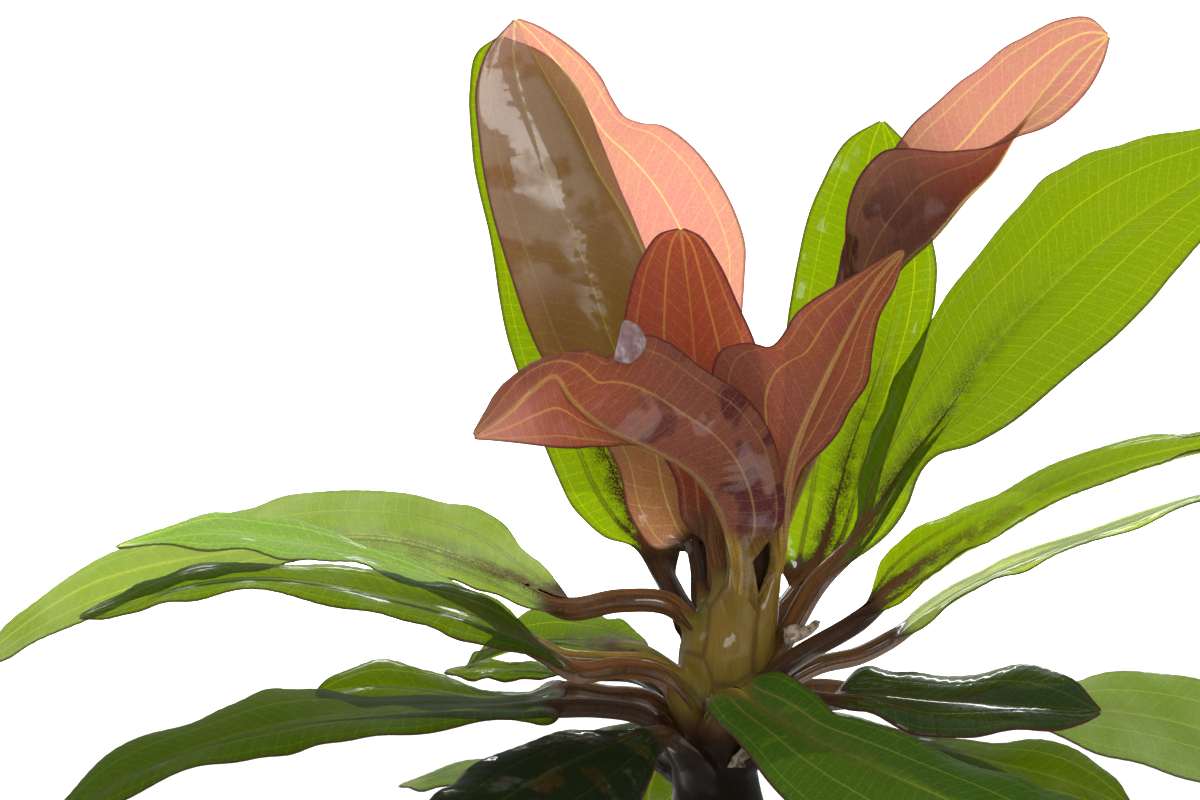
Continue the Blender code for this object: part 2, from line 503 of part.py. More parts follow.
def leaf_object(leaf, collection):
    """A flat grid laid out as the leaf's middle sheet from where it leaves the crown, and given its thickness."""
    bm = bmesh.new()
    bmesh.ops.create_grid(bm, x_segments=COLUMNS, y_segments=leaf.stations, size=1)
    flat = np.array([vert.co[:] for vert in bm.verts])
    across = np.sign(flat[:, 0]) * np.abs(flat[:, 0]) ** 1.25
    columns = np.unique(np.round(across, 6))
    starts = np.array([first_clear(leaf, column) for column in columns])
    start = np.interp(across, columns, starts)
    along = start + (1 - start) * (1 - ((1 - flat[:, 1]) / 2) ** 1.12)
    placed = leaf_points(leaf, along, across) * MM
    for vert, point in zip(bm.verts, placed):
        vert.co = point
    mesh = bpy.data.meshes.new(leaf.name)
    bm.to_mesh(mesh)
    bm.free()
    mesh.shade_smooth()
    obj = bpy.data.objects.new(leaf.name, mesh)
    collection.objects.link(obj)
    full = NECK_THICKNESS
    group = obj.vertex_groups.new(name="thickness")
    for index, share in enumerate(thickness(leaf, along, across) / full):
        group.add([index], float(min(share, 1)), "REPLACE")
    shell = obj.modifiers.new("thickness", "SOLIDIFY")
    shell.thickness = full * MM
    shell.offset = 0
    shell.vertex_group = group.name
    shell.use_even_offset = False
    return obj


def main():
    clear_the_scene()
    plant = collection_named("red_sword_plant")
    colours = {
        "green": material_named("leaf_green", (0.22, 0.36, 0.02), 0.35),
        "red": material_named("leaf_red", (0.42, 0.12, 0.08), 0.3),
        "crown": material_named("crown", (0.16, 0.11, 0.02), 0.45),
    }
    crown = crown_object(plant)
    crown.data.materials.append(colours["crown"])
    for leaf in LEAVES:
        obj = leaf_object(leaf, plant)
        obj.data.materials.append(colours[leaf.colour])


if __name__ == "__main__":
    main()
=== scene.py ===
"""A red-leaved sword plant, dressed: wet leaves that the light comes through, round a short crown.

Each leaf is a closed thin sheet laid out from the same rib and margins as its solid, with its nerves raised
on it. The leaves are listed in millimetres, and the scene is in metres, with +Z up and -Y towards the viewer.
"""

import math
from dataclasses import dataclass

import bpy
import numpy as np
from bpy.props import FloatProperty, FloatVectorProperty, IntProperty, PointerProperty
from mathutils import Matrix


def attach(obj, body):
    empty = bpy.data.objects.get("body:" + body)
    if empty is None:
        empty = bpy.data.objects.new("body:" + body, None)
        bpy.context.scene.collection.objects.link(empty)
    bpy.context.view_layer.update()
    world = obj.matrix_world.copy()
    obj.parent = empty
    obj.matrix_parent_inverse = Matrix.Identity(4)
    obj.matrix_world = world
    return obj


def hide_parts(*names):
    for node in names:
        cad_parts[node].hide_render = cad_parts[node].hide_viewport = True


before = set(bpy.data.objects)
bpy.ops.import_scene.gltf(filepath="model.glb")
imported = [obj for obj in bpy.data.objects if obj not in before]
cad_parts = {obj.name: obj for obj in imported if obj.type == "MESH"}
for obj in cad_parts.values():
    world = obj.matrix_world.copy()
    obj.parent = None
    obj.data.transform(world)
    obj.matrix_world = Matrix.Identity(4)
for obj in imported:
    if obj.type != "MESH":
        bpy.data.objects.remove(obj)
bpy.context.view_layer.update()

bl_info = {
    "name": "Red sword plant",
    "version": (1, 0, 0),
    "blender": (4, 5, 0),
    "location": "View3D > Sidebar > Plant",
    "description": "Dresses the solids of a red-leaved sword plant with veined, wet leaves",
    "category": "Object",
}

BODY = "root"
MM = 0.001

# Where the leaves were measured from: a point level with the middle of the plant, far in front of it.
VIEW_ACROSS = -30.0
VIEW_UP = 115.0
VIEW_DISTANCE = 1000.0

# The crown, from its cut face up: height, sideways lean and radius.
CROWN_RINGS = (
    (0, 0, 12.5),
    (8, 0, 13.2),
    (20, -1, 11.8),
    (32, -1, 10.2),
    (43, -0.5, 10.6),
    (52, 0, 11.4),
    (57, 0.5, 10.6),
    (61, 1.5, 8.8),
    (66, 3, 7.0),
    (72, 4, 4.5),
)
CROWN_HEIGHTS, CROWN_LEANS, CROWN_RADII = np.array(CROWN_RINGS, float).T

# A leaf's section, in millimetres, and the shares of its stalk's width and thickness that are left where it
# starts inside the crown.
SHEATH_LENGTH = 15.0
SHEATH_WIDENING = 2.2
SHEATH_THICKNESS = 3.0
STOUT_THICKNESS = 1.4
BURIED_LENGTH = 7.0
BURIED_WIDTH = 0.45
BURIED_THICKNESS = 0.3
NECK_THICKNESS = 4.2
TIP_THICKNESS = 0.6
RIB_HALF_WIDTH = 2.2
TIP_HALF_WIDTH = 0.9

# A half blade narrower than this cups and waves less. Its waves are this many radians on from the middle on
# the right, and as many back on the left.
FLAT_WIDTH = 12.0
SIDES_APART = 2.1

# How far past the start of the blade the finish begins to turn from the stalk's, and how far that takes, in
# millimetres.
BLADE_BEGINS = 1.0
BLADE_TURNS_OVER = 14.0

# Below this height the crown's cut foot is kept flat. Further up, its heart is this dark at these heights,
# where 0 is the gold stalks' colour and 1 is the dark ones': darker towards the bottom, partly the brown of
# old tissue and partly painted shade under the leaves.
FOOT_FLAT = 0.4
HEART_HEIGHTS = (18, 30, 42, 52)
HEART_TONES = (1.15, 0.9, 0.3, 0.05)

# The long nerves beside the rib, as shares of the way from the rib to the margin.
INNER_NERVE = 0.45
OUTER_NERVE = 0.83

# Where a leaf's columns stand closer together: the place, how far that reaches and how much closer.
CROWDED = ((0, 0.06, 2.2), (1, 0.05, 1.2), (INNER_NERVE, 0.04, 1.4), (OUTER_NERVE, 0.04, 1.4))

# Past the inner nerve the cross nerves run forwards at this share of their slant, and those of the right half
# are this share of a step ahead.
OUTER_SLANT = 0.6
STAGGER = 0.45

# How cross nerves stray from an even spacing: the share of a step, and radians to a millimetre along and
# across the leaf.
STRAYS = ((0.22, 1 / 17, 0), (0.16, 1 / 31, 1 / 9), (0.12, 1 / 6.3, -1 / 5))

# The fields between cross nerves swell fully only this far from the rib. The margins ripple with these
# millimetres to a radian, and with a drift that is slower and this strong. Both die out over this share of
# the blade before its tip.
SWELL_FROM_RIB = 3.0
RIPPLE_PACE = 2.9
RIPPLE_DRIFT_PACE = 11.0
RIPPLE_DRIFT = 2.0
RIPPLE_SIDES_APART = 1.7
SMOOTH_TIP = 1 / 8

# The rib, the inner, outer and cross nerves: over how many millimetres each falls away, and the shares of the
# nerve relief by which it is sunk in the upper face and stands out of the lower one.
NERVE_WIDTHS = (0.8, 0.55, 0.4, 0.4)
GROOVES = (0.9, 0.5, 0.3, 0.35)
RIDGES = (0.8, 1.0, 0.6, 0.5)

# The share of the way to the margin at which a leaf's edge begins to round off, and how far that goes on.
EDGE_FROM = 0.9
EDGE_OVER = 0.1

# A petiole's foot on the crown: the lowest that it begins, its thickness as a share of its width, how much
# wider it is inside, and how far it ends within the sides and the faces of its leaf's own stalk.
LOWEST_ROOT = 5.0
FOOT_FLATNESS = 0.72
FOOT_SWELLING = 1.1
WITHIN_SIDES = 0.7
WITHIN_FACES = 0.6

# Each lamp: the setting that holds its power, its place, the point that it faces and its size, in metres.
LAMPS = {
    "front_softbox": ("front_power", (0.30, -0.98, 0.36), (-0.03, 0, 0.15), (0.36, 0.24)),
    "left_softbox": ("left_power", (-0.75, -0.35, 0.55), (-0.02, 0, 0.12), (0.3, 0.30)),
    "back_strip": ("strip_power", (-0.05, 0.85, 0.62), (-0.05, 0, 0.08), (0.9, 0.07)),
}
SENSOR_WIDTH = 36.0
BOUNCES = {"max_bounces": 7, "diffuse_bounces": 3, "glossy_bounces": 2, "transparent_max_bounces": 16}

# The background's brightness where the camera sees it, and the share of it that a wet surface mirrors.
SEEN_WHITE = 1.05
MIRRORED_SHARE = 0.22


@dataclass(frozen=True)
class Look:
    """A leaf's finish. depth is how deep a colour light takes on its way through, and 1 is a young thin leaf.
    solid is the share of light that the surface stops, and foot is what the thicker lower part adds to it, up
    to foot_end of the way along. face is how bright the surface is painted, leaf by leaf: besides the leaf's
    own tone it paints the light or shade that falls on it, bright on a leaf lit from above and dark on a leaf
    in shade. foot_face makes the foot that many times brighter again, partly its own olive tint and partly
    painted light from the front.
    clear is the share of the light that goes straight through, and lift brightens it. bold widens the nerves,
    nerve_step is the distance between cross nerves in millimetres, and slant is how far those run forwards.
    Water lies over the share wet, in patches of about the size patch, in metres. quilt is how far the fields
    between the nerves bulge, stain how far brown spreads from the rib, and blotch how strongly dark patches
    show. pale is how strongly a painted sheen shows, pale colour painted in place of light mirrored off the
    wet skin, from pale_from of the way along, and from the left margin to pale_to of the way to the right
    one, and pale_solid is how much light it stops. tip is how much paler the end of the leaf is."""

    slot: str
    depth: float
    solid: float
    foot: float = 0.1
    face: float = 1.0
    foot_end: float = 0.72
    clear: float = 0.62
    lift: float = 1.0
    bold: float = 1.0
    nerve_step: float = 3.2
    slant: float = 0.6
    wet: float = 0.5
    quilt: float = 1.0
    stain: float = 0.5
    blotch: float = 0.0
    patch: float = 0.021
    pale: float = 0.0
    pale_from: float = -1.0
    pale_to: float = 2.0
    pale_solid: float = 0.0
    foot_face: tuple = (1.0, 1.0, 1.0)
    tip: float = 0.0


RED = {"slot": "leaf_red", "nerve_step": 4.4, "slant": 0.9, "quilt": 0.35, "stain": 0.0, "bold": 1.7}
DEEP_RED = {**RED, "foot": 0.25, "clear": 0.1, "blotch": 0.3, "wet": 0.3, "patch": 0.012}
LOOKS = {
    # The pink leaf's foot is painted lighter and greener, partly its own tint and partly painted light from
    # the front, and its upper left half carries a painted sheen.
    "pink": Look(
        **{**RED, "bold": 1.3, "stain": 0.2},
        depth=1.0, solid=0.14, foot=0.5, foot_end=0.4, foot_face=(2.9, 4.4, 3.4), wet=0.6, patch=0.03,
        pale=0.75, pale_from=0.45, pale_to=0.43, pale_solid=0.4,
    ),
    "blush": Look(
        **RED,
        depth=1.05, solid=0.2, foot=0.5, face=0.4, clear=0.45, blotch=0.8, wet=0.36, patch=0.009,
    ),
    "brick": Look(**DEEP_RED, depth=1.7, solid=0.4, lift=2.4),
    "russet": Look(**DEEP_RED, depth=1.75, solid=0.42, lift=1.6),
    "maroon": Look(
        **{**RED, "slant": -0.25, "quilt": 0.6, "nerve_step": 3.0},
        depth=1.85, solid=0.5, foot=0.35, face=0.75, clear=0.08, lift=1.9, wet=0.44, patch=0.01, blotch=1.0,
        tip=0.6,
    ),
    "bright": Look("leaf_green", 1.3, 0.2, slant=0.35, stain=1, nerve_step=2.7),
    "fresh": Look("leaf_green", 1.26, 0.24, stain=0.9, nerve_step=3.0),
    # The far left leaf, under a painted sheen that stands in for light mirrored off its wet skin.
    "bloom": Look("leaf_green", 1.22, 0.42, face=1.6, stain=0.5, wet=0.35, pale=0.7),
    # The light look is painted six times brighter: painted light standing in for light that reaches the leaf
    # from above and behind, with a painted sheen over it.
    "light": Look("leaf_green", 0.9, 0.6, 0.0, 6.0, clear=0.1, lift=1.6, wet=0.35, stain=0.2, pale=0.4),
    "veined": Look("leaf_green", 1.6, 0.3, 0.0, wet=0.2, quilt=0.4, stain=1, nerve_step=2.3),
    "grown": Look("leaf_green", 1.5, 0.4, face=0.7),
    "strip": Look("leaf_green", 1.8, 0.42, 0.0, 0.5, wet=0.25, quilt=0.4, stain=0.3),
    "old": Look("leaf_green", 2.2, 0.75, face=0.35, wet=0.6, quilt=0.6),
    # The leaf low at the front lies in shade: its face is painted almost black as painted shade, and it is
    # thick enough that little light comes through.
    "black": Look("leaf_green", 3.2, 0.92, face=0.13, wet=0.45, patch=0.008, quilt=0.5, stain=0.0),
    "matt": Look("leaf_green", 1.7, 0.7, 0.0, 1.1, wet=0.25, quilt=0.7),
    "pale": Look("leaf_green", 1.2, 0.5, 0.0, 2.0, wet=0.3, pale=0.6),
    # The leaf seen edge-on: painted pale and bright under a strong painted sheen, a painted reflection of the
    # bright sky that it mirrors.
    "silver": Look(
        "leaf_green", 0.75, 0.5, 0.0, 3.4,
        clear=0.3, lift=1.4, wet=0.7, patch=0.011, quilt=0.4, stain=0.1, pale=0.7,
    ),
}

# The painted sheen on a wet leaf, pale colour painted in place of light mirrored off the water, and the
# colours that a stalk can have.
SHEEN_PAINT = {"leaf_green": (0.50, 0.60, 0.36), "leaf_red": (0.44, 0.34, 0.27)}
STALKS = {
    "gold": (0.21, 0.125, 0.017),
    "olive": (0.15, 0.12, 0.013),
    "brown": (0.12, 0.05, 0.015),
    "dark": (0.035, 0.016, 0.007),
}


def seen(*points):
    """Points measured in the upright plane through the crown, carried along the line of sight to their
    depth."""
    placed = []
    for across, up, depth in points:
        reach = 1 + depth / VIEW_DISTANCE
        placed.append(
            (VIEW_ACROSS + (across - VIEW_ACROSS) * reach, depth, VIEW_UP + (up - VIEW_UP) * reach)
        )
    return tuple(placed)


@dataclass(frozen=True)
class Leaf:
    """One leaf. azimuth is the way it leaves the crown, in degrees. The rib runs from the crown to the tip,
    and the left and right margins from the blade's start, the rib's point number start, to the tip. Each half
    bulges by cup, left then right, and waves are the margins' height, count and phase. neck is half the
    stalk's width, which stout adds to. look and stalk name its finish, group is the set that it grows in, and
    a leaf that isn't fine has fewer faces."""

    name: str
    azimuth: float
    start: int
    rib: tuple
    left: tuple
    right: tuple
    cup: tuple = (1.5, 1.5)
    waves: tuple = (0.7, 4, 0.0)
    neck: float = 2.5
    look: str = "fresh"
    stalk: str = "brown"
    group: str = "left"
    fine: bool = True
    stout: float = 0.4


LEAVES = (
    Leaf(
        "leaf_red_tall", 100, 1, look="pink", stalk="dark", group="heart",
        stout=0.2, neck=3.2, waves=(0.4, 3, 0.5),
        rib=seen((-1.5, 60, 6), (-5, 77.5, 9), (-7.5, 95, 13), (-11, 115, 17), (-14.5, 135, 20),
            (-18.8, 151, 22), (-23.8, 161, 23), (-30, 171, 24), (-36.5, 184, 24), (-44, 197, 23),
            (-51, 210, 20)),
        left=seen((-15, 78.8, 6), (-20, 85, 7), (-24.5, 98.8, 10), (-30, 107.5, 12), (-37.5, 116, 14),
            (-45, 127.5, 16), (-52.5, 147.5, 18), (-57.5, 165, 18), (-60, 180, 18), (-60.5, 194, 18),
            (-57.5, 202.5, 18)),
        right=seen((-2, 82.5, 7), (1.2, 97.5, 9), (3.8, 115, 12), (4.5, 132.5, 14), (5.5, 145.5, 14),
            (5.8, 153.8, 14), (3.8, 161, 14), (-1.2, 171, 15), (-7.5, 178.8, 16), (-15, 183.8, 18),
            (-20, 184, 22), (-23.8, 185.5, 24), (-27, 190, 22), (-30, 195.5, 19), (-36, 202, 17),
            (-45, 208, 17)),
    ),
    Leaf(
        "leaf_green_tall", 110, 1, look="bright", stalk="dark", group="tall",
        rib=seen((-5, 54, 7), (-13.8, 70.5, 17), (-23.8, 90, 25), (-31.2, 107.5, 31), (-37.5, 127.5, 35),
            (-42.5, 147.5, 38), (-47.5, 167.5, 39), (-51.8, 187.5, 39), (-55, 205.5, 37)),
        left=seen((-20, 78.8, 20), (-27.5, 81, 22), (-35, 87.5, 25), (-42.5, 102.5, 28), (-51.2, 125, 31),
            (-57.5, 155, 33), (-61.5, 177.5, 34), (-62.2, 192.5, 35), (-60, 202, 36)),
        right=seen((-10, 85, 24), (-11, 105, 29), (-12, 125, 32), (-17.5, 148.8, 33), (-25, 167.5, 34),
            (-30, 180, 34), (-36, 192.5, 34), (-43.8, 201, 35)),
    ),
    Leaf(
        "leaf_red_centre", 95, 1, look="brick", stalk="brown", group="heart",
        stout=0.2, neck=2.8, waves=(0.3, 3, 0),
        rib=seen((2.5, 64, 1), (-1, 80, 2), (-3.8, 102.5, 5), (-5.8, 120, 6.5), (-7.5, 140, 5.5),
            (-8.8, 150, 3), (-9.8, 157.5, 0)),
        left=seen((-7.2, 85, 1), (-9.6, 94, 1), (-14, 102.5, 0), (-21, 117.5, 0), (-24, 129, 0),
            (-22.8, 140, 0), (-19, 151, 0), (-14.5, 156.3, 0)),
        right=seen((3.0, 86, 0), (8.8, 102.5, -1), (10.5, 117.5, -1), (8.8, 129, -1), (3.8, 140, 0),
            (-1.2, 150, 0), (-5.5, 155.8, 0)),
    ),
    Leaf(
        "leaf_red_front", -130, 1, look="maroon", stalk="gold", group="heart",
        stout=0.7, neck=3.4, waves=(0.3, 3, 0), cup=(-3, 1),
        rib=seen((5, 60, -6), (5, 75, -9.5), (-5, 95.5, -20), (-17.5, 103, -31), (-30, 108.8, -41),
            (-37.5, 115.5, -47), (-41.8, 121, -50), (-46.2, 118, -53), (-53.8, 111, -55),
            (-61.5, 106, -56)),
        left=seen((8.5, 79, -10.5), (13.2, 84, -11), (14.6, 92.5, -11), (13, 103, -13), (5.4, 115.7, -17),
            (-3.7, 122.5, -22), (-14, 129.8, -27), (-19.5, 131.2, -31), (-24.5, 129.5, -35),
            (-29, 125.3, -39), (-33, 127.4, -42), (-37.5, 127.2, -44), (-41, 125.8, -46),
            (-47.2, 123.8, -47), (-54.2, 119, -49), (-58.8, 111.2, -53)),
        right=seen((2, 85, -5), (-5, 97.5, -6), (-13.8, 104, -13), (-23.8, 103.5, -27), (-33.8, 103, -38),
            (-42.2, 103.5, -46), (-51.5, 104.8, -52)),
    ),
    Leaf(
        "leaf_red_right", -40, 1, look="russet", stalk="gold", group="heart",
        stout=-0.3, waves=(0.3, 3, 0),
        rib=seen((10.5, 59, -4), (14.5, 75, -4.5), (18.8, 102.5, -8), (25, 117.5, -11),
            (32.5, 132.5, -13), (40, 146, -13), (45.8, 152.5, -12)),
        left=seen((17.5, 90, -3), (20, 97.5, -1), (26.2, 103.2, 0), (32.5, 112, 0), (37, 120, -1),
            (38, 127.5, -3), (39.5, 135, -6), (43.2, 143, -9)),
        right=seen((11.2, 90, -3), (7.5, 102.5, -4), (1.2, 113.8, -5.5), (-1.8, 121, -7),
            (0.5, 127.5, -8), (6.2, 129, -9), (12, 128.2, -11), (20, 137.5, -12), (30, 143.8, -12),
            (40, 149.5, -12)),
    ),
    Leaf(
        "leaf_red_twisted", 20, 2, look="blush", stalk="gold", group="heart", neck=2.9, waves=(0.2, 3, 0),
        rib=seen((10, 58, 4), (14, 80, 8), (23.8, 105, 11), (32.5, 125, 13), (40, 142.5, 14),
            (46.2, 149.5, 14.5), (53.2, 155.5, 15), (61.8, 165.5, 15), (68.3, 171.8, 14), (74, 181, 12),
            (82, 193, 12), (91.2, 203, 13), (97, 206, 14)),
        left=seen((23.8, 115, 15), (26.2, 130, 18), (28.8, 143.8, 20), (32.5, 157.5, 21), (38, 170, 22),
            (44.5, 178.8, 22), (48.8, 184.5, 21), (53.8, 189.2, 20), (62.5, 196.2, 19), (75, 205, 18),
            (85, 209.5, 17), (92.5, 210, 16)),
        right=seen((28.8, 107.5, 6), (32.5, 127.5, 5), (31.2, 142.5, 4), (30.8, 155, 4), (32, 163.8, 4),
            (35.5, 172, 4), (41.2, 177.5, 4), (47.5, 178.2, 4), (57.8, 176.8, 4), (68.5, 178.5, 3),
            (78.5, 182.2, 3), (84.8, 185.5, 4), (91.2, 192, 7), (95.5, 200, 10)),
    ),
    Leaf(
        "leaf_green_behind", 75, 1, look="bright", stalk="brown", group="tall",
        rib=seen((7, 54, 8), (20, 67.5, 18), (25, 77.5, 24), (32.5, 102.5, 33), (38.8, 120, 37),
            (43.8, 140, 40), (45, 155, 40), (43.2, 170, 39), (40.5, 184.5, 36)),
        left=seen((16.2, 75, 19), (15.5, 95, 25), (16.5, 117.5, 30), (17.5, 137.5, 33), (20, 152.5, 34),
            (25, 167.5, 35), (32.5, 180, 36)),
        right=seen((32.5, 77, 25), (37, 87.5, 30), (41.2, 102.5, 33), (48.8, 122.5, 36), (53, 137.5, 37),
            (54.2, 147.5, 37), (51.2, 161.2, 37), (46.2, 178.8, 36)),
    ),
    Leaf(
        "leaf_green_broad", 20, 2, look="fresh", stalk="brown", group="tall",
        stout=1.0, neck=3.2, cup=(2.5, 2.5),
        rib=seen((8.5, 45, 0.5), (15, 53.5, -1), (25, 70, -3), (35, 80, -2), (46.2, 96.2, 2),
            (57.5, 112, 5), (70, 130, 9), (82.5, 142.5, 12), (95, 153.8, 14), (107.5, 163, 15),
            (120, 171, 15), (132.5, 180, 14), (142.5, 188, 12)),
        left=seen((35.5, 84.5, 2), (36.2, 97.5, 7), (40, 110, 12), (45, 122.5, 16), (52.5, 132.5, 20),
            (57.5, 142.5, 23), (67.5, 155, 26), (85, 172.5, 29), (102.5, 180, 29), (120, 182.5, 26),
            (132.5, 187, 21)),
        right=seen((42, 83, -6), (46.5, 88.8, -7), (51.2, 98.2, -6), (65, 105, -5), (80, 115, -4),
            (95, 127.5, -2), (107.5, 140, 0), (120, 153.8, 3), (130, 165, 6), (138.8, 177.5, 9)),
    ),
    Leaf(
        "leaf_right_level", -10, 2, look="fresh", stalk="dark", group="right", stout=0.8, cup=(1.5, -1.2),
        rib=seen((4, 39, -8.5), (19, 50.5, -11), (35, 60, -11), (45, 68.8, -13), (57.5, 77, -15),
            (70, 85, -17), (85, 93.8, -20), (102.5, 100, -23), (120, 104, -26), (137.5, 108.5, -29),
            (150, 110.5, -31)),
        left=seen((37.5, 67, -7), (42.5, 77, -4), (52.5, 85, -2), (70, 91.2, -1), (85, 99.8, -3),
            (100, 104.2, -6), (120, 106.8, -13), (135, 110, -21)),
        right=seen((42.5, 63.5, -17), (55, 72.5, -23), (70, 82.2, -28), (85, 89.8, -32),
            (102.5, 97.2, -36), (120, 102, -36), (135, 107, -34)),
    ),
    Leaf(
        "leaf_right_edge_on", 10, 3, look="silver", stalk="brown", group="right",
        rib=seen((7, 38, 2), (25, 48.8, 6), (35, 51.2, 9), (42.5, 55, 11), (55, 64, 15), (70, 72, 18),
            (95, 81.3, 22), (120, 90, 24), (142.5, 95, 25)),
        left=seen((48.8, 60.5, 22), (57.5, 67.4, 28), (70, 73.8, 33), (85, 79.3, 36), (102.5, 84.6, 38),
            (120, 90.2, 37), (132.5, 93, 32)),
        right=seen((46.2, 56.4, 6), (56.2, 63, 3), (70, 70.2, 2), (85, 76.4, 3), (102.5, 82.4, 6),
            (120, 89.2, 10), (132.5, 92, 16)),
    ),
    Leaf(
        "leaf_right_dark", -35, 2, look="old", stalk="dark", group="right",
        rib=seen((7, 32, -5.5), (13, 41, -11.5), (26.2, 39.5, -26), (40, 40, -35), (55, 39.2, -43),
            (70, 38.8, -50), (83.8, 38, -56), (95, 37, -60)),
        left=seen((31.2, 44.5, -20), (36.2, 48, -19), (45, 47.2, -24), (57.5, 45.5, -29), (70, 48, -35),
            (80, 48.2, -42), (88.8, 44, -51)),
        right=seen((32.5, 38, -34), (40, 35.5, -42), (52.5, 30.5, -52), (70, 31.8, -63),
            (82.5, 32.8, -66), (91.2, 34.5, -64)),
    ),
    Leaf(
        "leaf_right_far", 15, 3, look="pale", stalk="brown", group="right",
        rib=seen((6, 34, 6), (20, 42.5, 14), (40, 41.2, 22), (60, 40, 28), (85, 37, 33),
            (102.5, 36.2, 35), (120, 32.5, 35), (137.5, 25, 33), (150, 17.5, 31)),
        left=seen((67.5, 42.5, 36), (80, 42.5, 42), (95, 46.2, 48), (107.5, 47, 50), (120, 45, 50),
            (135, 36.2, 45), (145, 26.2, 38)),
        right=seen((70, 36.2, 22), (85, 30.5, 20), (95, 26.5, 19), (107.5, 23, 19), (120, 19.5, 20),
            (135, 15, 23), (145, 13.5, 27)),
    ),
    Leaf(
        "leaf_right_low", -12, 2, look="grown", stalk="dark", group="right", fine=False,
        rib=seen((2, 22, -4), (20, 28.8, -8), (35, 28.8, -14), (52.5, 27.5, -20), (70, 23.8, -25),
            (85, 20, -28), (95, 16.2, -29), (103.8, 12, -29)),
        left=seen((40, 31.2, -7), (52.5, 31.2, -6), (66.2, 28.8, -8), (77.5, 30, -12), (88.8, 27.5, -17),
            (97.5, 21.2, -23)),
        right=seen((42.5, 23.8, -24), (55, 17.5, -33), (70, 12.5, -39), (85, 10, -40), (97.5, 9.5, -35)),
    ),
    Leaf(
        "leaf_front", -50, 1, look="matt", stalk="olive", group="front",
        rib=seen((-1.5, 32, -9.5), (3.8, 41, -20), (11.2, 36.2, -32), (20, 31.2, -45), (37.5, 23.2, -66),
            (57.5, 14.5, -85), (77.5, 4, -101), (92, -5.4, -111), (103, -13.1, -118)),
        left=seen((5.5, 44.8, -18), (12.5, 46.8, -26), (20, 43.8, -34), (27.5, 37.5, -44),
            (40, 33.5, -58), (57.5, 26.2, -70), (77.5, 18.8, -86), (97.5, 11, -100), (106, -2, -112)),
        right=seen((-1.2, 40, -24), (0.5, 35, -34), (5, 29.5, -46), (12.5, 20, -62), (20, 12, -76),
            (35, 1, -92), (55, -8, -106), (78, -13, -115)),
    ),
    Leaf(
        "leaf_left_far", 170, 3, look="bloom", stalk="brown", group="left", stout=1.3, cup=(-1.0, 1.5),
        rib=seen((-4, 55, 0), (-12.5, 63.8, -2), (-25, 64.8, -3), (-38, 62.8, -1), (-51, 69.2, 3),
            (-64, 75, 8), (-82, 80, 13), (-108, 79.5, 20), (-124.5, 76.5, 23), (-141.8, 73.5, 26),
            (-157, 69, 28), (-170, 61.5, 30), (-180, 54, 31), (-186, 49, 31)),
        left=seen((-45, 63, -6), (-55, 65.5, 0), (-67.5, 70, 6), (-81.8, 74, 10), (-97.5, 75, 13),
            (-115, 73, 15), (-130, 70, 16), (-145, 65.5, 18), (-159.5, 60.2, 20), (-166.5, 56.8, 22),
            (-173.8, 53, 25), (-180, 50, 28)),
        right=seen((-43.8, 72.5, 6), (-50, 78.8, 12), (-57.5, 86.2, 19), (-67.5, 88.8, 26),
            (-75, 91.2, 30), (-84.5, 92.5, 34), (-94.5, 92.5, 38), (-110, 90, 42), (-125.8, 86, 44),
            (-140, 80.8, 45), (-151.2, 76.5, 44), (-165, 69.2, 41), (-176.2, 60.5, 36)),
    ),
    Leaf(
        "leaf_left_middle", 183, 5, look="light", stalk="gold", group="left", stout=0.8,
        rib=seen((-7, 43, -4), (-17.5, 48.8, -6), (-30, 49.5, -8), (-40, 50.5, -9), (-48, 54.5, -9),
            (-58.2, 62.6, -8), (-72.5, 69, -7), (-84.2, 73.5, -6), (-95, 77.2, -6), (-110, 80, -5),
            (-125.8, 82, -5), (-140, 80, -5), (-151, 78.2, -5)),
        left=seen((-62.5, 64.5, -14), (-75, 68, -20), (-84.2, 72, -22), (-95, 74, -23), (-110, 75.8, -23),
            (-122.5, 77, -20), (-134, 78.5, -14)),
        right=seen((-62.5, 67.5, -4), (-72.5, 72.5, -1), (-84.2, 77.2, 1), (-97, 81.5, 3),
            (-106.8, 84.8, 5), (-119.5, 85.8, 6), (-129, 85.5, 5), (-141.8, 82.2, 1)),
    ),
    Leaf(
        "leaf_left_near", 195, 3, look="grown", stalk="brown", group="left", stout=0.8,
        rib=seen((-8, 36, -8), (-15, 46, -13), (-25, 48, -19), (-36.2, 47, -25), (-43.8, 51.2, -29),
            (-55, 57, -34), (-67.5, 62, -38), (-80, 65, -40), (-95, 68.2, -42), (-112.5, 70.2, -44),
            (-130, 68.8, -45), (-145, 65, -46), (-160, 60.8, -46)),
        left=seen((-41.2, 48, -34), (-50, 51.2, -43), (-62.5, 54.8, -50), (-80, 59.5, -56),
            (-92.5, 63, -58), (-105, 65.5, -59), (-117.5, 66.8, -59), (-135, 65, -57),
            (-152.5, 60.5, -51)),
        right=seen((-42, 52.5, -25), (-46.5, 57, -25.5), (-52, 62, -26), (-60.4, 66.5, -26.5),
            (-72.5, 69.8, -27), (-84.2, 72, -28), (-105, 73.5, -29), (-119.5, 74, -30), (-130, 73, -31),
            (-142.5, 70, -35), (-152.5, 65, -41)),
    ),
    Leaf(
        "leaf_back_left_broad", 120, 1, look="veined", stalk="olive", group="left", stout=0.4,
        rib=seen((-5, 42, 7), (-20, 52, 18), (-30, 53.8, 32), (-40, 54.5, 50), (-50, 53, 68),
            (-58.8, 50, 82), (-63, 48, 90)),
        left=seen((-29, 50.5, 24), (-40, 52, 38), (-50, 52.5, 50), (-57.5, 52.5, 64), (-61.2, 51.5, 77)),
        right=seen((-20, 55, 30), (-25, 59.5, 42), (-32.5, 62, 56), (-40, 63.5, 70), (-48.8, 61.2, 82),
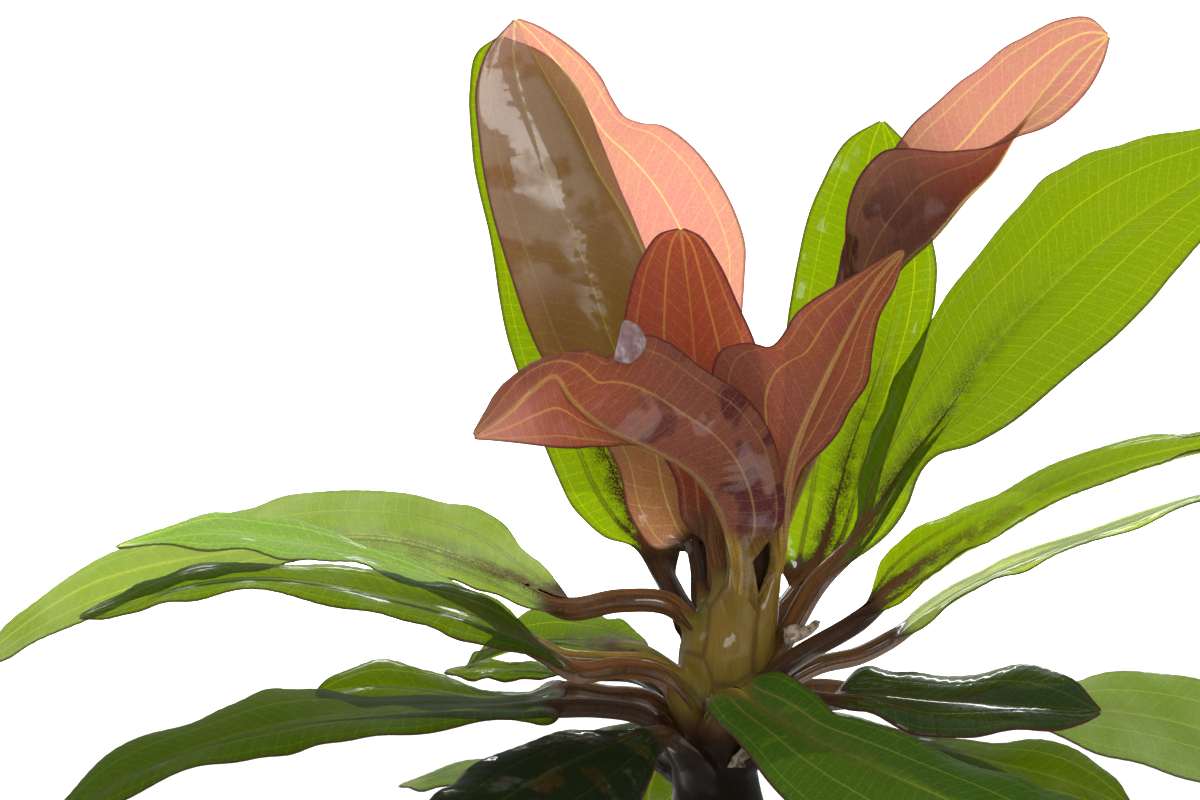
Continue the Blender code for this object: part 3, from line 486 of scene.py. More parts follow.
            (-56.2, 56.2, 89)),
    ),
    Leaf(
        "leaf_left_wavy", 172, 3, look="grown", stalk="brown", group="left", fine=False, stout=0.6,
        rib=seen((-8, 32, -3), (-17.5, 40, 0), (-27.5, 41.2, 4), (-37.5, 42.5, 8), (-47.5, 40, 11),
            (-60, 40.5, 14), (-72.5, 42.5, 16), (-85, 43.5, 18), (-95, 42.5, 19), (-101, 41.5, 20)),
        left=seen((-40, 40, 0), (-50, 37, -2), (-62.5, 37, -1), (-75, 38, 1), (-87.5, 38.8, 6),
            (-96.2, 40, 13)),
        right=seen((-41.2, 44.5, 10), (-47.5, 42, 15), (-56.2, 41.5, 20), (-65, 44, 24), (-75, 48, 27),
            (-85, 49.2, 28), (-93.8, 47.5, 26), (-98.8, 44.2, 22)),
    ),
    Leaf(
        "leaf_left_small", 160, 2, look="grown", stalk="dark", group="left", fine=False,
        rib=seen((-7, 37, 5), (-20, 46, 13), (-32.5, 47, 21), (-45, 47.6, 30), (-57.5, 47.8, 36),
            (-68.8, 47.2, 40)),
        left=seen((-43, 45.3, 23), (-55, 44.8, 27), (-64, 45.4, 34)),
        right=seen((-42.5, 48.6, 33), (-52.5, 49.4, 40), (-62, 49, 43)),
    ),
    Leaf(
        "leaf_left_drooping", 188, 3, look="strip", stalk="dark", group="left", stout=0.6,
        rib=seen((-11, 28, -3.5), (-20, 36.2, -8), (-30, 38, -12), (-40, 38, -15), (-55, 37, -18),
            (-72.5, 37, -21), (-87.5, 36.2, -23), (-105, 34.5, -25), (-122.5, 30.5, -27),
            (-137.5, 25.5, -28), (-152.5, 18.8, -29), (-162.5, 11.2, -30), (-168.8, 3.6, -30),
            (-172.5, -2.9, -30)),
        left=seen((-42.5, 34.5, -24), (-62.5, 34.2, -34), (-80, 31.2, -40), (-105, 27.5, -44),
            (-130, 22.5, -46), (-145, 17.5, -46), (-157.5, 11.5, -43), (-166.2, 3.8, -38)),
        right=seen((-45, 40.5, -9), (-60, 40, -5), (-75, 40, -3), (-87.5, 41.2, -2), (-100, 42.5, -3),
            (-117.5, 40.8, -5), (-130, 35.5, -7), (-142.5, 31.2, -9), (-156.2, 23, -13),
            (-165, 14.2, -19), (-170, 5, -25)),
    ),
    Leaf(
        "leaf_front_left_dark", -140, 1, look="black", stalk="dark", group="front",
        rib=seen((-6.5, 24, -10.5), (-14, 31.2, -22), (-25, 28.8, -36), (-37.5, 23.8, -50),
            (-50, 17.5, -64), (-62.5, 8.8, -78), (-72.5, -1.2, -90), (-78.8, -11.2, -97)),
        left=seen((-17.5, 23.8, -34), (-20, 15, -50), (-25, 7.5, -64), (-35, 0, -78), (-47.5, -6.2, -90),
            (-62.5, -11.2, -98)),
        right=seen((-25, 32, -26), (-40, 31.2, -36), (-50, 28.8, -44), (-62.5, 22.5, -56),
            (-71.2, 16.2, -68), (-77.5, 7.5, -80), (-80, -2.5, -90)),
    ),
    Leaf(
        "leaf_left_lowest", 150, 2, look="pale", stalk="dark", group="left", fine=False,
        rib=seen((-8.5, 21, 3.5), (-19, 25.5, 17), (-32, 25.5, 30), (-50, 24, 42), (-66, 21.5, 53),
            (-80, 18.8, 62)),
        left=seen((-48, 21, 30), (-64, 18.5, 38), (-76, 17.5, 50)),
        right=seen((-45, 26, 54), (-60, 24.5, 66), (-72, 21.5, 68)),
    ),
    Leaf(
        "leaf_back", 100, 1, look="grown", stalk="brown", group="back", fine=False,
        rib=seen((-4.5, 17, 8), (-7, 29, 24), (-10, 34, 42), (-13, 33, 62), (-15, 28, 82), (-17, 20, 100),
            (-18, 14.7, 114), (-18, 12.9, 120)),
        left=seen((-20, 32, 40), (-30, 32, 58), (-34, 27, 80), (-32, 20, 100), (-26, 15, 114)),
        right=seen((2, 31, 40), (6, 31, 60), (6, 27, 82), (2, 19, 104), (-8, 14, 116)),
    ),
    Leaf(
        "leaf_back_right", 55, 1, look="grown", stalk="brown", group="back", fine=False,
        rib=seen((3.5, 23, 6), (9, 31, 23), (18, 34, 42), (32, 34, 62), (48, 30, 82), (64, 23, 100),
            (78, 14.7, 114), (83, 12.75, 118)),
        left=seen((6, 33, 40), (14, 36, 60), (28, 36, 82), (44, 31, 100), (62, 22, 114), (76, 15, 120)),
        right=seen((17, 31, 30), (34, 31, 46), (52, 28, 62), (68, 22, 80), (79, 16, 98)),
    ),
)

# Small curled pieces, each as pairs of points on its two edges, and how far its middle bulges to the viewer.
FOLDS = (
    ("folded_lobe", "leaf_red", 1.6, (
        seen((-26.7, 124.6, -39.5), (-22.6, 123.8, -39.5)),
        seen((-26.1, 127.5, -39), (-19.2, 126.6, -36)),
        seen((-25.2, 131, -38), (-18.3, 130, -34.5)),
        seen((-24.5, 134, -37), (-20.2, 133.2, -35)),
        seen((-23.9, 134.9, -36.5), (-23.3, 134.9, -36.5)),
    )),
    ("dry_scrap", "crown", 0.9, (
        seen((15.5, 57.6, -7), (16.2, 53.4, -8)),
        seen((18.2, 59.0, -6), (18.8, 54.2, -8)),
        seen((21.4, 58.6, -5), (21.7, 55.6, -7)),
        seen((23.6, 60.0, -4), (23.6, 57.0, -6)),
        seen((25.2, 59.7, -3), (24.8, 58.6, -4)),
    )),
)

# Dry flaps round the crown: azimuth in degrees, height, length, width and outward curl in millimetres, and
# where its ragged edge starts.
FLAPS = (
    (-150, 40, 6, 7, 3.0, 0.4),
    (-95, 38, 5, 6, 2.5, 1.7),
    (18, 61, 14, 9, 8.0, 3.1),
    (110, 44, 8, 10, 3.0, 5.2),
    (60, 36, 7, 9, 3.5, 0.9),
    (-55, 24, 7, 9, 2.5, 2.8),
)

# The stalk between the two at the front, painted dark as painted shade in the gap: its middle line, half its
# width and half its thickness.
INNER_STALK = np.array(((8.6, 0.5, 48), (9.8, 1.6, 60), (10.6, 2.4, 74), (11, 2.2, 88)), float)
INNER_HALF_WIDTH = 3.1
INNER_HALF_THICKNESS = 1.7
INNER_TAPER = 0.35

# The number of points round a foot that is fused to the crown, and round the inner stalk.
FOOT_SIDES = 24
INNER_SIDES = 28


def smooth_through(knots, values, at):
    """A smooth curve through the values at the knots, read at every place in at."""
    knots, values = np.asarray(knots, float), np.asarray(values, float)
    if values.ndim == 1:
        values = values[:, None]
    spans = np.diff(knots)[:, None]
    slopes = np.diff(values, axis=0) / spans
    middle = (slopes[:-1] * spans[1:] + slopes[1:] * spans[:-1]) / (spans[1:] + spans[:-1])
    tangents = np.vstack([slopes[:1], middle, slopes[-1:]])
    span = np.clip(np.searchsorted(knots, at, side="right") - 1, 0, len(knots) - 2)
    step = spans[span]
    x = ((at - knots[span]) / step[:, 0])[:, None]
    return (
        (1 + 2 * x) * (1 - x) ** 2 * values[span]
        + x * (1 - x) ** 2 * step * tangents[span]
        + x**2 * (3 - 2 * x) * values[span + 1]
        - x**2 * (1 - x) * step * tangents[span + 1]
    )


def unit(vectors):
    return vectors / np.linalg.norm(vectors, axis=-1, keepdims=True)


def ease(x):
    """0 below 0 and 1 above 1, with a smooth rise between them."""
    x = np.clip(x, 0, 1)
    return x * x * (3 - 2 * x)


def near(distance, width):
    """1 where the distance is nothing, falling smoothly to 0 over the width."""
    return np.exp(-((distance / width) ** 2))


def run_of(points):
    """The share of a line's length at which each of its points lies, and that length."""
    run = np.concatenate([[0], np.cumsum(np.linalg.norm(np.diff(points, axis=0), axis=1))])
    return run / run[-1], run[-1]


def rib_of(leaf, along):
    """The rib's points and its direction, how far the blade has come from its start to the tip, and the
    rib's length."""
    rib = np.array(leaf.rib, float)
    knots, length = run_of(rib)
    step = 1e-3
    ahead = smooth_through(knots, rib, np.minimum(along + step, 1))
    behind = smooth_through(knots, rib, np.maximum(along - step, 0))
    share = (along - knots[leaf.start]) / (1 - knots[leaf.start])
    return smooth_through(knots, rib, along), unit(ahead - behind), np.clip(share, 0, 1), length


def half_of(leaf, side, along):
    """The step from the rib to one margin."""
    rib = np.array(leaf.rib, float)
    centre, _, share, length = rib_of(leaf, along)
    listed = leaf.left if side < 0 else leaf.right
    margin = np.array([leaf.rib[leaf.start], *listed, leaf.rib[-1]], float)
    knots, _ = run_of(margin)
    spread = smooth_through(knots, margin, share)
    spread = spread - np.where(share[:, None] > 0, centre, rib[leaf.start])
    inner = np.clip(share, 0.02, 0.97)
    start = run_of(rib)[0][leaf.start]
    inner_centre, tangent, _, _ = rib_of(leaf, start + inner * (1 - start))
    way = unit(smooth_through(knots, margin, inner) - inner_centre)
    azimuth = math.radians(leaf.azimuth)
    level = side * np.array([math.sin(azimuth), -math.cos(azimuth), 0.0])
    level = unit(level - tangent * (tangent @ level)[:, None])
    stalk = leaf.neck + SHEATH_WIDENING * (1 - ease(along * length / SHEATH_LENGTH))
    stalk = stalk * (BURIED_WIDTH + (1 - BURIED_WIDTH) * ease(along * length / BURIED_LENGTH))
    stalk = stalk * (1 - share) ** 3
    return spread + level * stalk[:, None] + way * (TIP_HALF_WIDTH * share**4)[:, None]


def halves_of(leaf, along, across):
    """The step from the rib to the margin on each point's own side."""
    return np.where((across < 0)[:, None], half_of(leaf, -1, along), half_of(leaf, 1, along))


def leaf_points(leaf, along, across):
    """Points of the leaf's middle sheet, in millimetres. along runs from 0 at the crown to 1 at the tip,
    and across from -1 at the left margin to 1 at the right."""
    centre, tangent, share, _ = rib_of(leaf, along)
    out = np.abs(across)
    half = halves_of(leaf, along, across)
    upper = unit(np.cross(half, tangent) * np.where(across < 0, -1, 1)[:, None])
    cup = np.where(across < 0, leaf.cup[0], leaf.cup[1])
    height, count, phase = leaf.waves
    room = ease(np.linalg.norm(half, axis=1) / FLAT_WIDTH) * ease(4 * (1 - share))
    wave = np.sin(2 * math.pi * count * share + phase + SIDES_APART * np.sign(across))
    lift = (4 * cup * out * (1 - out) + height * out**2 * wave) * room
    return centre + half * out[:, None] + upper * lift[:, None]


def thickness(leaf, along, across, blade_thickness):
    """The leaf's thickness in millimetres: full along the petiole and the rib, thin at the margins."""
    _, _, share, length = rib_of(leaf, along)
    lateral = np.abs(across) * np.linalg.norm(halves_of(leaf, along, across), axis=1)
    stalk = SHEATH_THICKNESS + (NECK_THICKNESS - SHEATH_THICKNESS) * ease(along * length / SHEATH_LENGTH)
    stalk = stalk + STOUT_THICKNESS * leaf.stout
    buried = BURIED_THICKNESS + (1 - BURIED_THICKNESS) * ease(along * length / BURIED_LENGTH)
    ridge = TIP_THICKNESS + (stalk * buried - TIP_THICKNESS) * (1 - share) ** 3
    return blade_thickness + (ridge - blade_thickness) * near(lateral, RIB_HALF_WIDTH)


def columns_across(count):
    """Places from margin to margin, closer together on the rib, on the long nerves and at the margins."""
    plain = np.linspace(0, 1, count * 8)
    crowd = 1 + sum(more * near(plain - place, width) for place, width, more in CROWDED)
    run = np.concatenate([[0], np.cumsum((crowd[1:] + crowd[:-1]) / 2)])
    right = np.interp(np.linspace(0, run[-1], count + 1), run, plain)
    return np.concatenate([-right[:0:-1], right])


def nerve_phase(leaf, distance, lateral, half):
    """Counts the cross nerves along the leaf. They run out from the rib and forwards, and bend at the long
    nerves."""
    look = LOOKS[leaf.look]
    seed = 0.37 * leaf.azimuth + len(leaf.name)
    out = np.abs(lateral)
    inner = np.minimum(out, INNER_NERVE * half)
    forward = look.slant * (inner + OUTER_SLANT * (out - inner))
    stray = sum(
        size * np.sin(distance * ahead + lateral * aside + (number + 1) * seed)
        for number, (size, ahead, aside) in enumerate(STRAYS)
    )
    return (distance - forward) / look.nerve_step + stray + STAGGER * (lateral > 0)


def clasped(leaf, points, across, side, distance, blade, shape):
    """The same points, with the foot of the petiole broadened and bent round the crown."""
    foot = 1 - ease(distance / shape.sheath_reach)
    leans = np.interp(points[:, 2], CROWN_HEIGHTS, CROWN_LEANS)
    outward = unit(np.stack([points[:, 0] - leans, points[:, 1], 0 * leans], axis=1) + 1e-6)
    out = np.abs(across)
    fuller = shape.sheath_width * foot * out**1.2 + leaf.stout * (1 - blade) * out
    return points + side * fuller[:, None] - outward * (shape.sheath_wrap * foot * out**2)[:, None]


def normals_of(grid):
    """The unit normal at each point of a grid."""
    return unit(np.cross(np.gradient(grid, axis=1), np.gradient(grid, axis=0)))


def sheet_of(leaf, rows, columns, shape):
    """The upper and lower faces of one leaf as grids of points in millimetres, and what its finish reads."""
    look = LOOKS[leaf.look]
    line = columns_across(columns)
    ahead = np.linspace(0, 1, rows + 1)
    along, across = [grid.ravel() for grid in np.meshgrid(ahead, line, indexing="ij")]
    shaped = (rows + 1, len(line), 3)
    _, _, share, length = rib_of(leaf, along)
    half = halves_of(leaf, along, across)
    width = np.linalg.norm(half, axis=1)
    out, distance, lateral = np.abs(across), along * length, across * width
    blade = ease((share * length - BLADE_BEGINS) / BLADE_TURNS_OVER)
    points = clasped(leaf, leaf_points(leaf, along, across), across, unit(half), distance, blade, shape)

    # The fields between cross nerves swell, and the margins ripple.
    phase = nerve_phase(leaf, distance, lateral, width)
    swell = (0.5 - 0.5 * np.cos(2 * np.pi * phase)) * ease(np.abs(lateral) / SWELL_FROM_RIB)
    seed = 0.61 * leaf.azimuth
    drift = RIPPLE_DRIFT * np.sin(distance / RIPPLE_DRIFT_PACE + 2 * seed)
    ripple = np.sin(distance / RIPPLE_PACE + seed + drift + RIPPLE_SIDES_APART * np.sign(across))
    rise = shape.quilting * look.quilt * swell + shape.frill * out**3 * ripple
    normal = normals_of(points.reshape(shaped)).reshape(-1, 3)
    points = points + normal * (rise * blade * ease((1 - share) / SMOOTH_TIP))[:, None]

    away = [
        lateral,
        (out - INNER_NERVE) * width,
        (out - OUTER_NERVE) * width,
        np.abs((phase + 0.5) % 1 - 0.5) * look.nerve_step,
    ]
    nerves = near(np.stack(away, axis=1), np.array(NERVE_WIDTHS)) * blade[:, None] * shape.nerve_relief
    nerves[:, 0] *= (1 - share) ** 0.5
    body = thickness(leaf, along, across, shape.blade_thickness / MM) / 2
    body = body * np.sqrt(np.clip(1 - ((out - EDGE_FROM) / EDGE_OVER).clip(0) ** 4, 0, 1))
    upper = (points + normal * (body - nerves @ GROOVES)[:, None]).reshape(shaped)
    lower = (points - normal * (body + nerves @ RIDGES)[:, None]).reshape(shaped)
    border = np.ones(shaped[:2], bool)
    border[1:-1, 1:-1] = False
    upper[border] = points.reshape(shaped)[border]
    reads = {
        "span": np.stack([share, 0.5 + 0.5 * across], axis=1),
        "flat": np.stack([distance, lateral], axis=1),
        "weave": np.stack([phase, blade], axis=1),
    }
    return upper, lower, reads


def grid_faces(index, turned):
    """Four-cornered faces between neighbours on a grid of vertex numbers."""
    a, b, c, d = index[:-1, :-1], index[:-1, 1:], index[1:, 1:], index[1:, :-1]
    corners = (a, d, c, b) if turned else (a, b, c, d)
    return np.stack([corner.ravel() for corner in corners], axis=1)


def doubled(values, others):
    """The values at every point of one grid, then those at every point but the border of another."""
    size = values.shape[-1]
    return np.vstack([values.reshape(-1, size), others[1:-1, 1:-1].reshape(-1, size)])


def closed_sheet(upper, lower, above=0):
    """Points and faces of a thin closed body between two grids of points, which meet at the upper's border.
    above is added to every vertex number."""
    index = np.arange(upper[..., 0].size).reshape(upper.shape[:2])
    under = index.copy()
    inner = under[1:-1, 1:-1]
    under[1:-1, 1:-1] = index.size + np.arange(inner.size).reshape(inner.shape)
    faces = np.vstack([grid_faces(index, False), grid_faces(under, True)]) + above
    return doubled(upper, lower), faces.tolist()


def mesh_from(name, points, faces):
    """A smooth mesh, in metres, from points in millimetres."""
    mesh = bpy.data.meshes.new(name)
    mesh.from_pydata((points * MM).tolist(), [], faces)
    mesh.shade_smooth()
    return mesh


def add_map(mesh, title, values):
    """A UV map that a finish reads, from two numbers for each corner."""
    mesh.uv_layers.new(name=title).data.foreach_set("uv", values.astype(np.float32).ravel())


def corners_of(mesh):
    """The number of the vertex at each corner."""
    corner = np.empty(len(mesh.loops), np.int32)
    mesh.loops.foreach_get("vertex_index", corner)
    return corner


def shown(name, mesh, material, node):
    """Puts a piece in the scene, in place of a solid where node names one."""
    mesh.materials.append(material)
    piece = bpy.data.objects.new(name, mesh)
    bpy.context.scene.collection.objects.link(piece)
    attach(piece, BODY)
    if node:
        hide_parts(node)
    return piece


def grow_leaf(leaf, material, shape):
    """One leaf as a closed thin body in place of its solid."""
    rows, columns = shape.rows, shape.columns
    if not leaf.fine:
        rows, columns = rows * 2 // 3, columns * 2 // 3
    upper, lower, reads = sheet_of(leaf, rows, columns, shape)
    mesh = mesh_from(leaf.name, *closed_sheet(upper, lower))
    corner = corners_of(mesh)
    for title, values in reads.items():
        grid = values.reshape(*upper.shape[:2], 2)
        add_map(mesh, title, doubled(grid, grid)[corner])
    above = np.zeros((len(corner), 2))
    above[:len(corner) // 2] = 1
    add_map(mesh, "side", above)
    title = leaf.name.replace("leaf_", "") + "_leaf"
    return shown(title, mesh, material, leaf.name)


class Amount:
    """A number on its way through a material's nodes, so that shader sums are written as plain
    expressions."""

    def __init__(self, work, socket):
        self.work, self.socket = work, socket

    def sum(self, operation, *values, clamp=False):
        settings = {"operation": operation, "use_clamp": clamp}
        return self.work.node("ShaderNodeMath", settings, dict(enumerate(values)))

    def __add__(self, other):
        return self.sum("ADD", self, other)

    __radd__ = __add__

    def __sub__(self, other):
        return self.sum("SUBTRACT", self, other)

    def __rsub__(self, other):
        return self.sum("SUBTRACT", other, self)

    def __mul__(self, other):
        return self.sum("MULTIPLY", self, other)

    __rmul__ = __mul__

    def __truediv__(self, other):
        return self.sum("DIVIDE", self, other)

    def __pow__(self, other):
        return self.sum("POWER", self, other)

    def __abs__(self):
        return self.sum("ABSOLUTE", self)

    def within(self):
        """The same number, kept between 0 and 1."""
        return self.sum("ADD", self, 0.0, clamp=True)

    def least(self, other):
        return self.sum("MAXIMUM", self, other)

    def fraction(self):
        return self.sum("FRACT", self)

    def rising(self, low, high):
        """0 below low and 1 above high, with a smooth rise between them."""
        settings = {"interpolation_type": "SMOOTHSTEP"}
        values = {"Value": self, "From Min": low, "From Max": high}
        return self.work.node("ShaderNodeMapRange", settings, values)

    def falling(self, low, high):
        return 1 - self.rising(low, high)


class Bench:
    """A material, or the light of the world, as it is put together from nodes."""

    def __init__(self, owner):
        owner.use_nodes = True
        self.owner, self.tree = owner, owner.node_tree
        self.tree.nodes.clear()

    def node(self, kind, settings=None, values=None, output=0):
        """Adds a node: its kind, its settings, what its sockets hold or are linked to, and the output
        wanted."""
        made = self.tree.nodes.new(kind)
        for name, value in (settings or {}).items():
            setattr(made, name, value)
        for name, value in (values or {}).items():
            socket = made.inputs[name]
            if isinstance(value, Amount):
                self.tree.links.new(value.socket, socket)
            elif socket.type == "RGBA" and len(value) == 3:
                socket.default_value = (*value, 1)
            else:
                socket.default_value = value
        return Amount(self, made.outputs[output])

    def parts(self, vector):
        """A vector's three numbers."""
        split = self.node("ShaderNodeSeparateXYZ", values={0: vector}).socket.node
        return [Amount(self, socket) for socket in split.outputs]

    def reads(self, title):
        """The two numbers of a UV map."""
        return self.parts(self.node("ShaderNodeUVMap", {"uv_map": title}))[:2]

    def place(self):
        """Where the point lies in the object, in metres."""
        return self.node("ShaderNodeTexCoord", output="Object")

    def joined(self, first, second):
        """A vector of two numbers."""
        return self.node("ShaderNodeCombineXYZ", values={0: first, 1: second})

    def blend(self, share, first, second, kind="MIX"):
        """A colour between two colours."""
        settings = {"data_type": "RGBA", "blend_type": kind}
        return self.node("ShaderNodeMix", settings, {0: share, 6: first, 7: second}, output=2)

    def noise(self, place, size, detail=2.0, rough=0.5):
        """Soft patches about as large as size, in the units of the place that they are read at."""
        values = {"Vector": place, "Scale": 1 / size, "Detail": detail, "Roughness": rough}
        return self.node("ShaderNodeTexNoise", values=values)

    def cells(self, place, scale, feature="F1"):
        """How far a point is from the middle, or from the edge, of the cell that it is in."""
        return self.node("ShaderNodeTexVoronoi", {"feature": feature}, {"Vector": place, "Scale": scale})

    def skin(self, colour, roughness, coat, relief, strength=0.3, depth=0.0003, more=None):
        """A surface under a share of clear water, with a relief of about that depth, in metres."""
        values = {"Strength": strength, "Distance": depth, "Height": relief}
        bump = self.node("ShaderNodeBump", values=values)
        values = {"Base Color": colour, "Roughness": roughness, "Coat Weight": coat, "Normal": bump}
        return self.node("ShaderNodeBsdfPrincipled", values={**values, **(more or {})})

    def spread(self, colour):
        """Light that comes through and is spread on its way."""
        return self.node("ShaderNodeBsdfTranslucent", values={"Color": colour})

    def straight(self, colour):
        """Light that goes straight through."""
        return self.node("ShaderNodeBsdfTransparent", values={"Color": colour})

    def layered(self, share, first, second):
        """A share of the second shader over the first."""
        return self.node("ShaderNodeMixShader", values={0: share, 1: first, 2: second})

    def finish(self, surface, kind="ShaderNodeOutputMaterial"):
        made = self.tree.nodes.new(kind)
        self.tree.links.new(surface.socket, made.inputs["Surface"])
        return self.owner


def deeper(colour, depth, lift=1.0):
    """The colour of light that has come through that many times the depth of tissue."""
    return tuple(min(lift * float(part) ** depth, 0.95) for part in colour)


class LeafPlace:
    """Where a point of a leaf lies, and how near it is to the nerves and the margin. along, lateral, reach
    and inner are in millimetres, and the others run from 0 to 1."""

    def __init__(self, work, look):
        self.share, self.across = work.reads("span")
        self.along, self.lateral = work.reads("flat")
        phase, self.blade = work.reads("weave")
        self.place = work.place()
        self.flat = work.joined(self.along, self.lateral)
        self.reach = abs(self.lateral)
        out = abs(self.across * 2 - 1)
        half = self.reach / out.least(0.02)
        self.grain = work.noise(self.flat, 0.45, 1.0)
        self.drift = work.noise(self.flat, 4.5, 1.0)
        self.cloud = work.noise(self.place, 0.013)

        # Nerves: the rib, two long ones on each side, the cross nerves between them and a fine net.
        bold = look.bold
        self.rib = self.reach.falling(0.16 * bold, 0.4 * bold)
        self.rib = self.rib + 0.6 * self.reach.falling(0.3, 1.4) * (1 - self.share)
        self.inner = abs(out - INNER_NERVE) * half
        outer = abs(out - OUTER_NERVE) * half
        long_nerves = self.inner.falling(0.08 * bold, 0.28 * bold)
        long_nerves = long_nerves + 0.6 * outer.falling(0.05 * bold, 0.24 * bold)
        cross = abs((phase + 0.12 * (self.drift - 0.5) + 0.5).fraction() - 0.5) * look.nerve_step
        cross = cross.falling(0.02, 0.19) * (0.5 + 0.4 * self.drift.rising(0.38, 0.6))
        web = work.cells(self.flat, 0.75, "DISTANCE_TO_EDGE").falling(0.0, 0.09) * 0.2
        nerve = (0.9 * self.rib + 0.8 * long_nerves + 0.5 * cross) * (1 - 0.4 * (1 - self.blade))
        self.nerve = (nerve + web * self.blade).within()
        self.rim = ((1 - out) * half).falling(0.35, 0.95) * self.blade
        self.foot = self.share.falling(look.foot_end - 0.3, look.foot_end)


def blotches(work, look, at):
    """Where the dark patches of a leaf's lower part show."""
    return work.noise(at.place, 0.012).rising(0.5, 0.56) * look.blotch * at.share.falling(0.35, 0.6)


def stains(look, at):
    """Where brown has spread from the rib, from its lower end and along the inner nerves."""
    core = at.reach.falling(0.9, 2.4) * at.share.falling(0.04, 0.24)
    side = 0.6 * at.inner.falling(0.2, 1.1) * at.share.falling(0.1, 0.55)
    wide = at.reach.falling(0.6, 6.0) * at.share.falling(0.1, 0.75)
    wide = wide * (0.35 + 0.65 * at.grain.rising(0.35, 0.6)) * at.drift.rising(0.2, 0.55)
    return (look.stain * (wide + 0.9 * core + side)).within()


def painted_sheen_mask(work, look, at):
    """Where a painted sheen shows, pale colour in place of light mirrored off the wet skin: in sharp patches
    on a red leaf and in soft ones on a green leaf.
    """
    bloom = work.noise(at.place, 0.016, 3.0)
    if look.slot == "leaf_red":
        bloom = bloom.rising(0.4, 0.5) * 0.7 + 0.3
    else:
        bloom = bloom.rising(0.25, 0.75) * 0.6 + 0.4
    bloom = bloom * at.share.rising(look.pale_from, look.pale_from + 0.12)
    return bloom * at.across.falling(look.pale_to, look.pale_to + 0.08) * (look.pale * at.blade)


def stalk_colour(work, at, stalk):
    """Fibres of two tones down the stalk, and darker sides."""
    fibres = work.noise(work.joined(at.along * 0.06, at.lateral * 1.6), 1.0, 3.0, 0.6).rising(0.35, 0.7)
    colour = work.blend(fibres, STALKS[stalk], [2.1 * part for part in STALKS[stalk]])
    return work.blend(at.reach.rising(0.9, 2.6) * 0.5, colour, STALKS["dark"])


def leaf_skin(work, look, colours, stalk, at, blot, stain, bloom):
    """The surface: an upper face, a paler underside, nerves, stains, a painted sheen, the stalk and a dark
    rim.
    """
    upper, _ = work.reads("side")
    face = work.blend(upper, colours.back, colours.face)
    face = work.blend((0.9 * at.cloud).within(), face, deeper(colours.face, 1.25))
    face = work.blend(blot, face, colours.rim)
    face = work.blend(at.nerve * 0.7, face, colours.nerve)
    face = work.blend(stain, face, STALKS["brown"])
    # Each look scales the face: painted light on leaves lit from above, painted shade on leaves in shade; the
    # foot is scaled again, partly its own tint and partly painted light from the front.
    face = work.blend(1.0, face, [look.face] * 3, "MULTIPLY")
    face = work.blend(at.foot, face, work.blend(1.0, face, look.foot_face, "MULTIPLY"))
    # Painted sheen: pale colour in place of light mirrored off the wet skin.
    face = work.blend(bloom * (1 - stain), face, SHEEN_PAINT[look.slot])
    face = work.blend(at.blade.rising(0.15, 0.95), stalk_colour(work, at, stalk), face)
    face = work.blend(at.rim * 0.85, face, colours.rim)
    face = work.blend(at.grain.rising(0.3, 0.7) * 0.3, face, (0.0, 0.0, 0.0))

    # Water lies on it in patches, and between them the skin is duller.
    wet = work.noise(at.place, look.patch, 2.0, 0.45)
    wet = wet.rising(1 - look.wet - 0.06, 1 - look.wet + 0.03) * (1 - at.rim)
    tooth = work.noise(at.flat, 1.1)
    relief = 0.4 * tooth + 0.8 * at.nerve + 0.6 * at.drift
    more = {"Specular IOR Level": 0.15, "Coat Roughness": 0.06}
    roughness = (0.5 - 0.26 * wet + 0.1 * tooth).within()
    return work.skin(face, roughness, wet * (0.75 + 0.25 * at.blade), relief, more=more)


def leaf_light(work, look, colours, at):
    """The light that comes through, partly spread and partly straight on, as in stained glass."""
    through = deeper(colours.through, look.depth, look.lift)
    nerve_through = deeper(colours.nerve_through, look.depth, look.lift)
    warm = (at.nerve + 0.5 * (at.cloud - 0.35)).within()
    spread = work.layered(warm, work.spread(through), work.spread(nerve_through))
    straight = work.layered(warm, work.straight(through), work.straight(nerve_through))
    return work.layered(look.clear, spread, straight)


def leaf_material(name, look, colours, stalk):
    """Wet, veined leaf tissue that light comes through, turning into a solid stalk at the foot."""
    work = Bench(bpy.data.materials.new(name))
    at = LeafPlace(work, look)
    blot, stain, bloom = blotches(work, look, at), stains(look, at), painted_sheen_mask(work, look, at)
    skin = leaf_skin(work, look, colours, stalk, at, blot, stain, bloom)
    young = at.share.rising(0.7, 0.95) * look.tip
    light = leaf_light(work, look, colours, at)
    light = work.layered(young, light, work.spread(deeper(colours.through, 0.7)))

    # The share of light that the tissue stops.
    thin = at.blade.rising(0.3, 1.0) * (1 - at.rib * 0.15)
    solid = look.solid + (1 - look.solid) * (1 - thin) + 0.45 * at.rim
    solid = solid + 0.3 * (at.grain - 0.5) * at.blade + 0.25 * (at.cloud - 0.5)
    solid = solid + look.foot * at.foot - 0.4 * young + look.pale_solid * bloom + 0.8 * stain + 0.3 * blot
    tissue = work.layered(solid.within(), light, skin)
    inside = work.node("ShaderNodeNewGeometry", output="Backfacing")
    return work.finish(work.layered(inside, tissue, work.straight((1.0, 1.0, 1.0))))


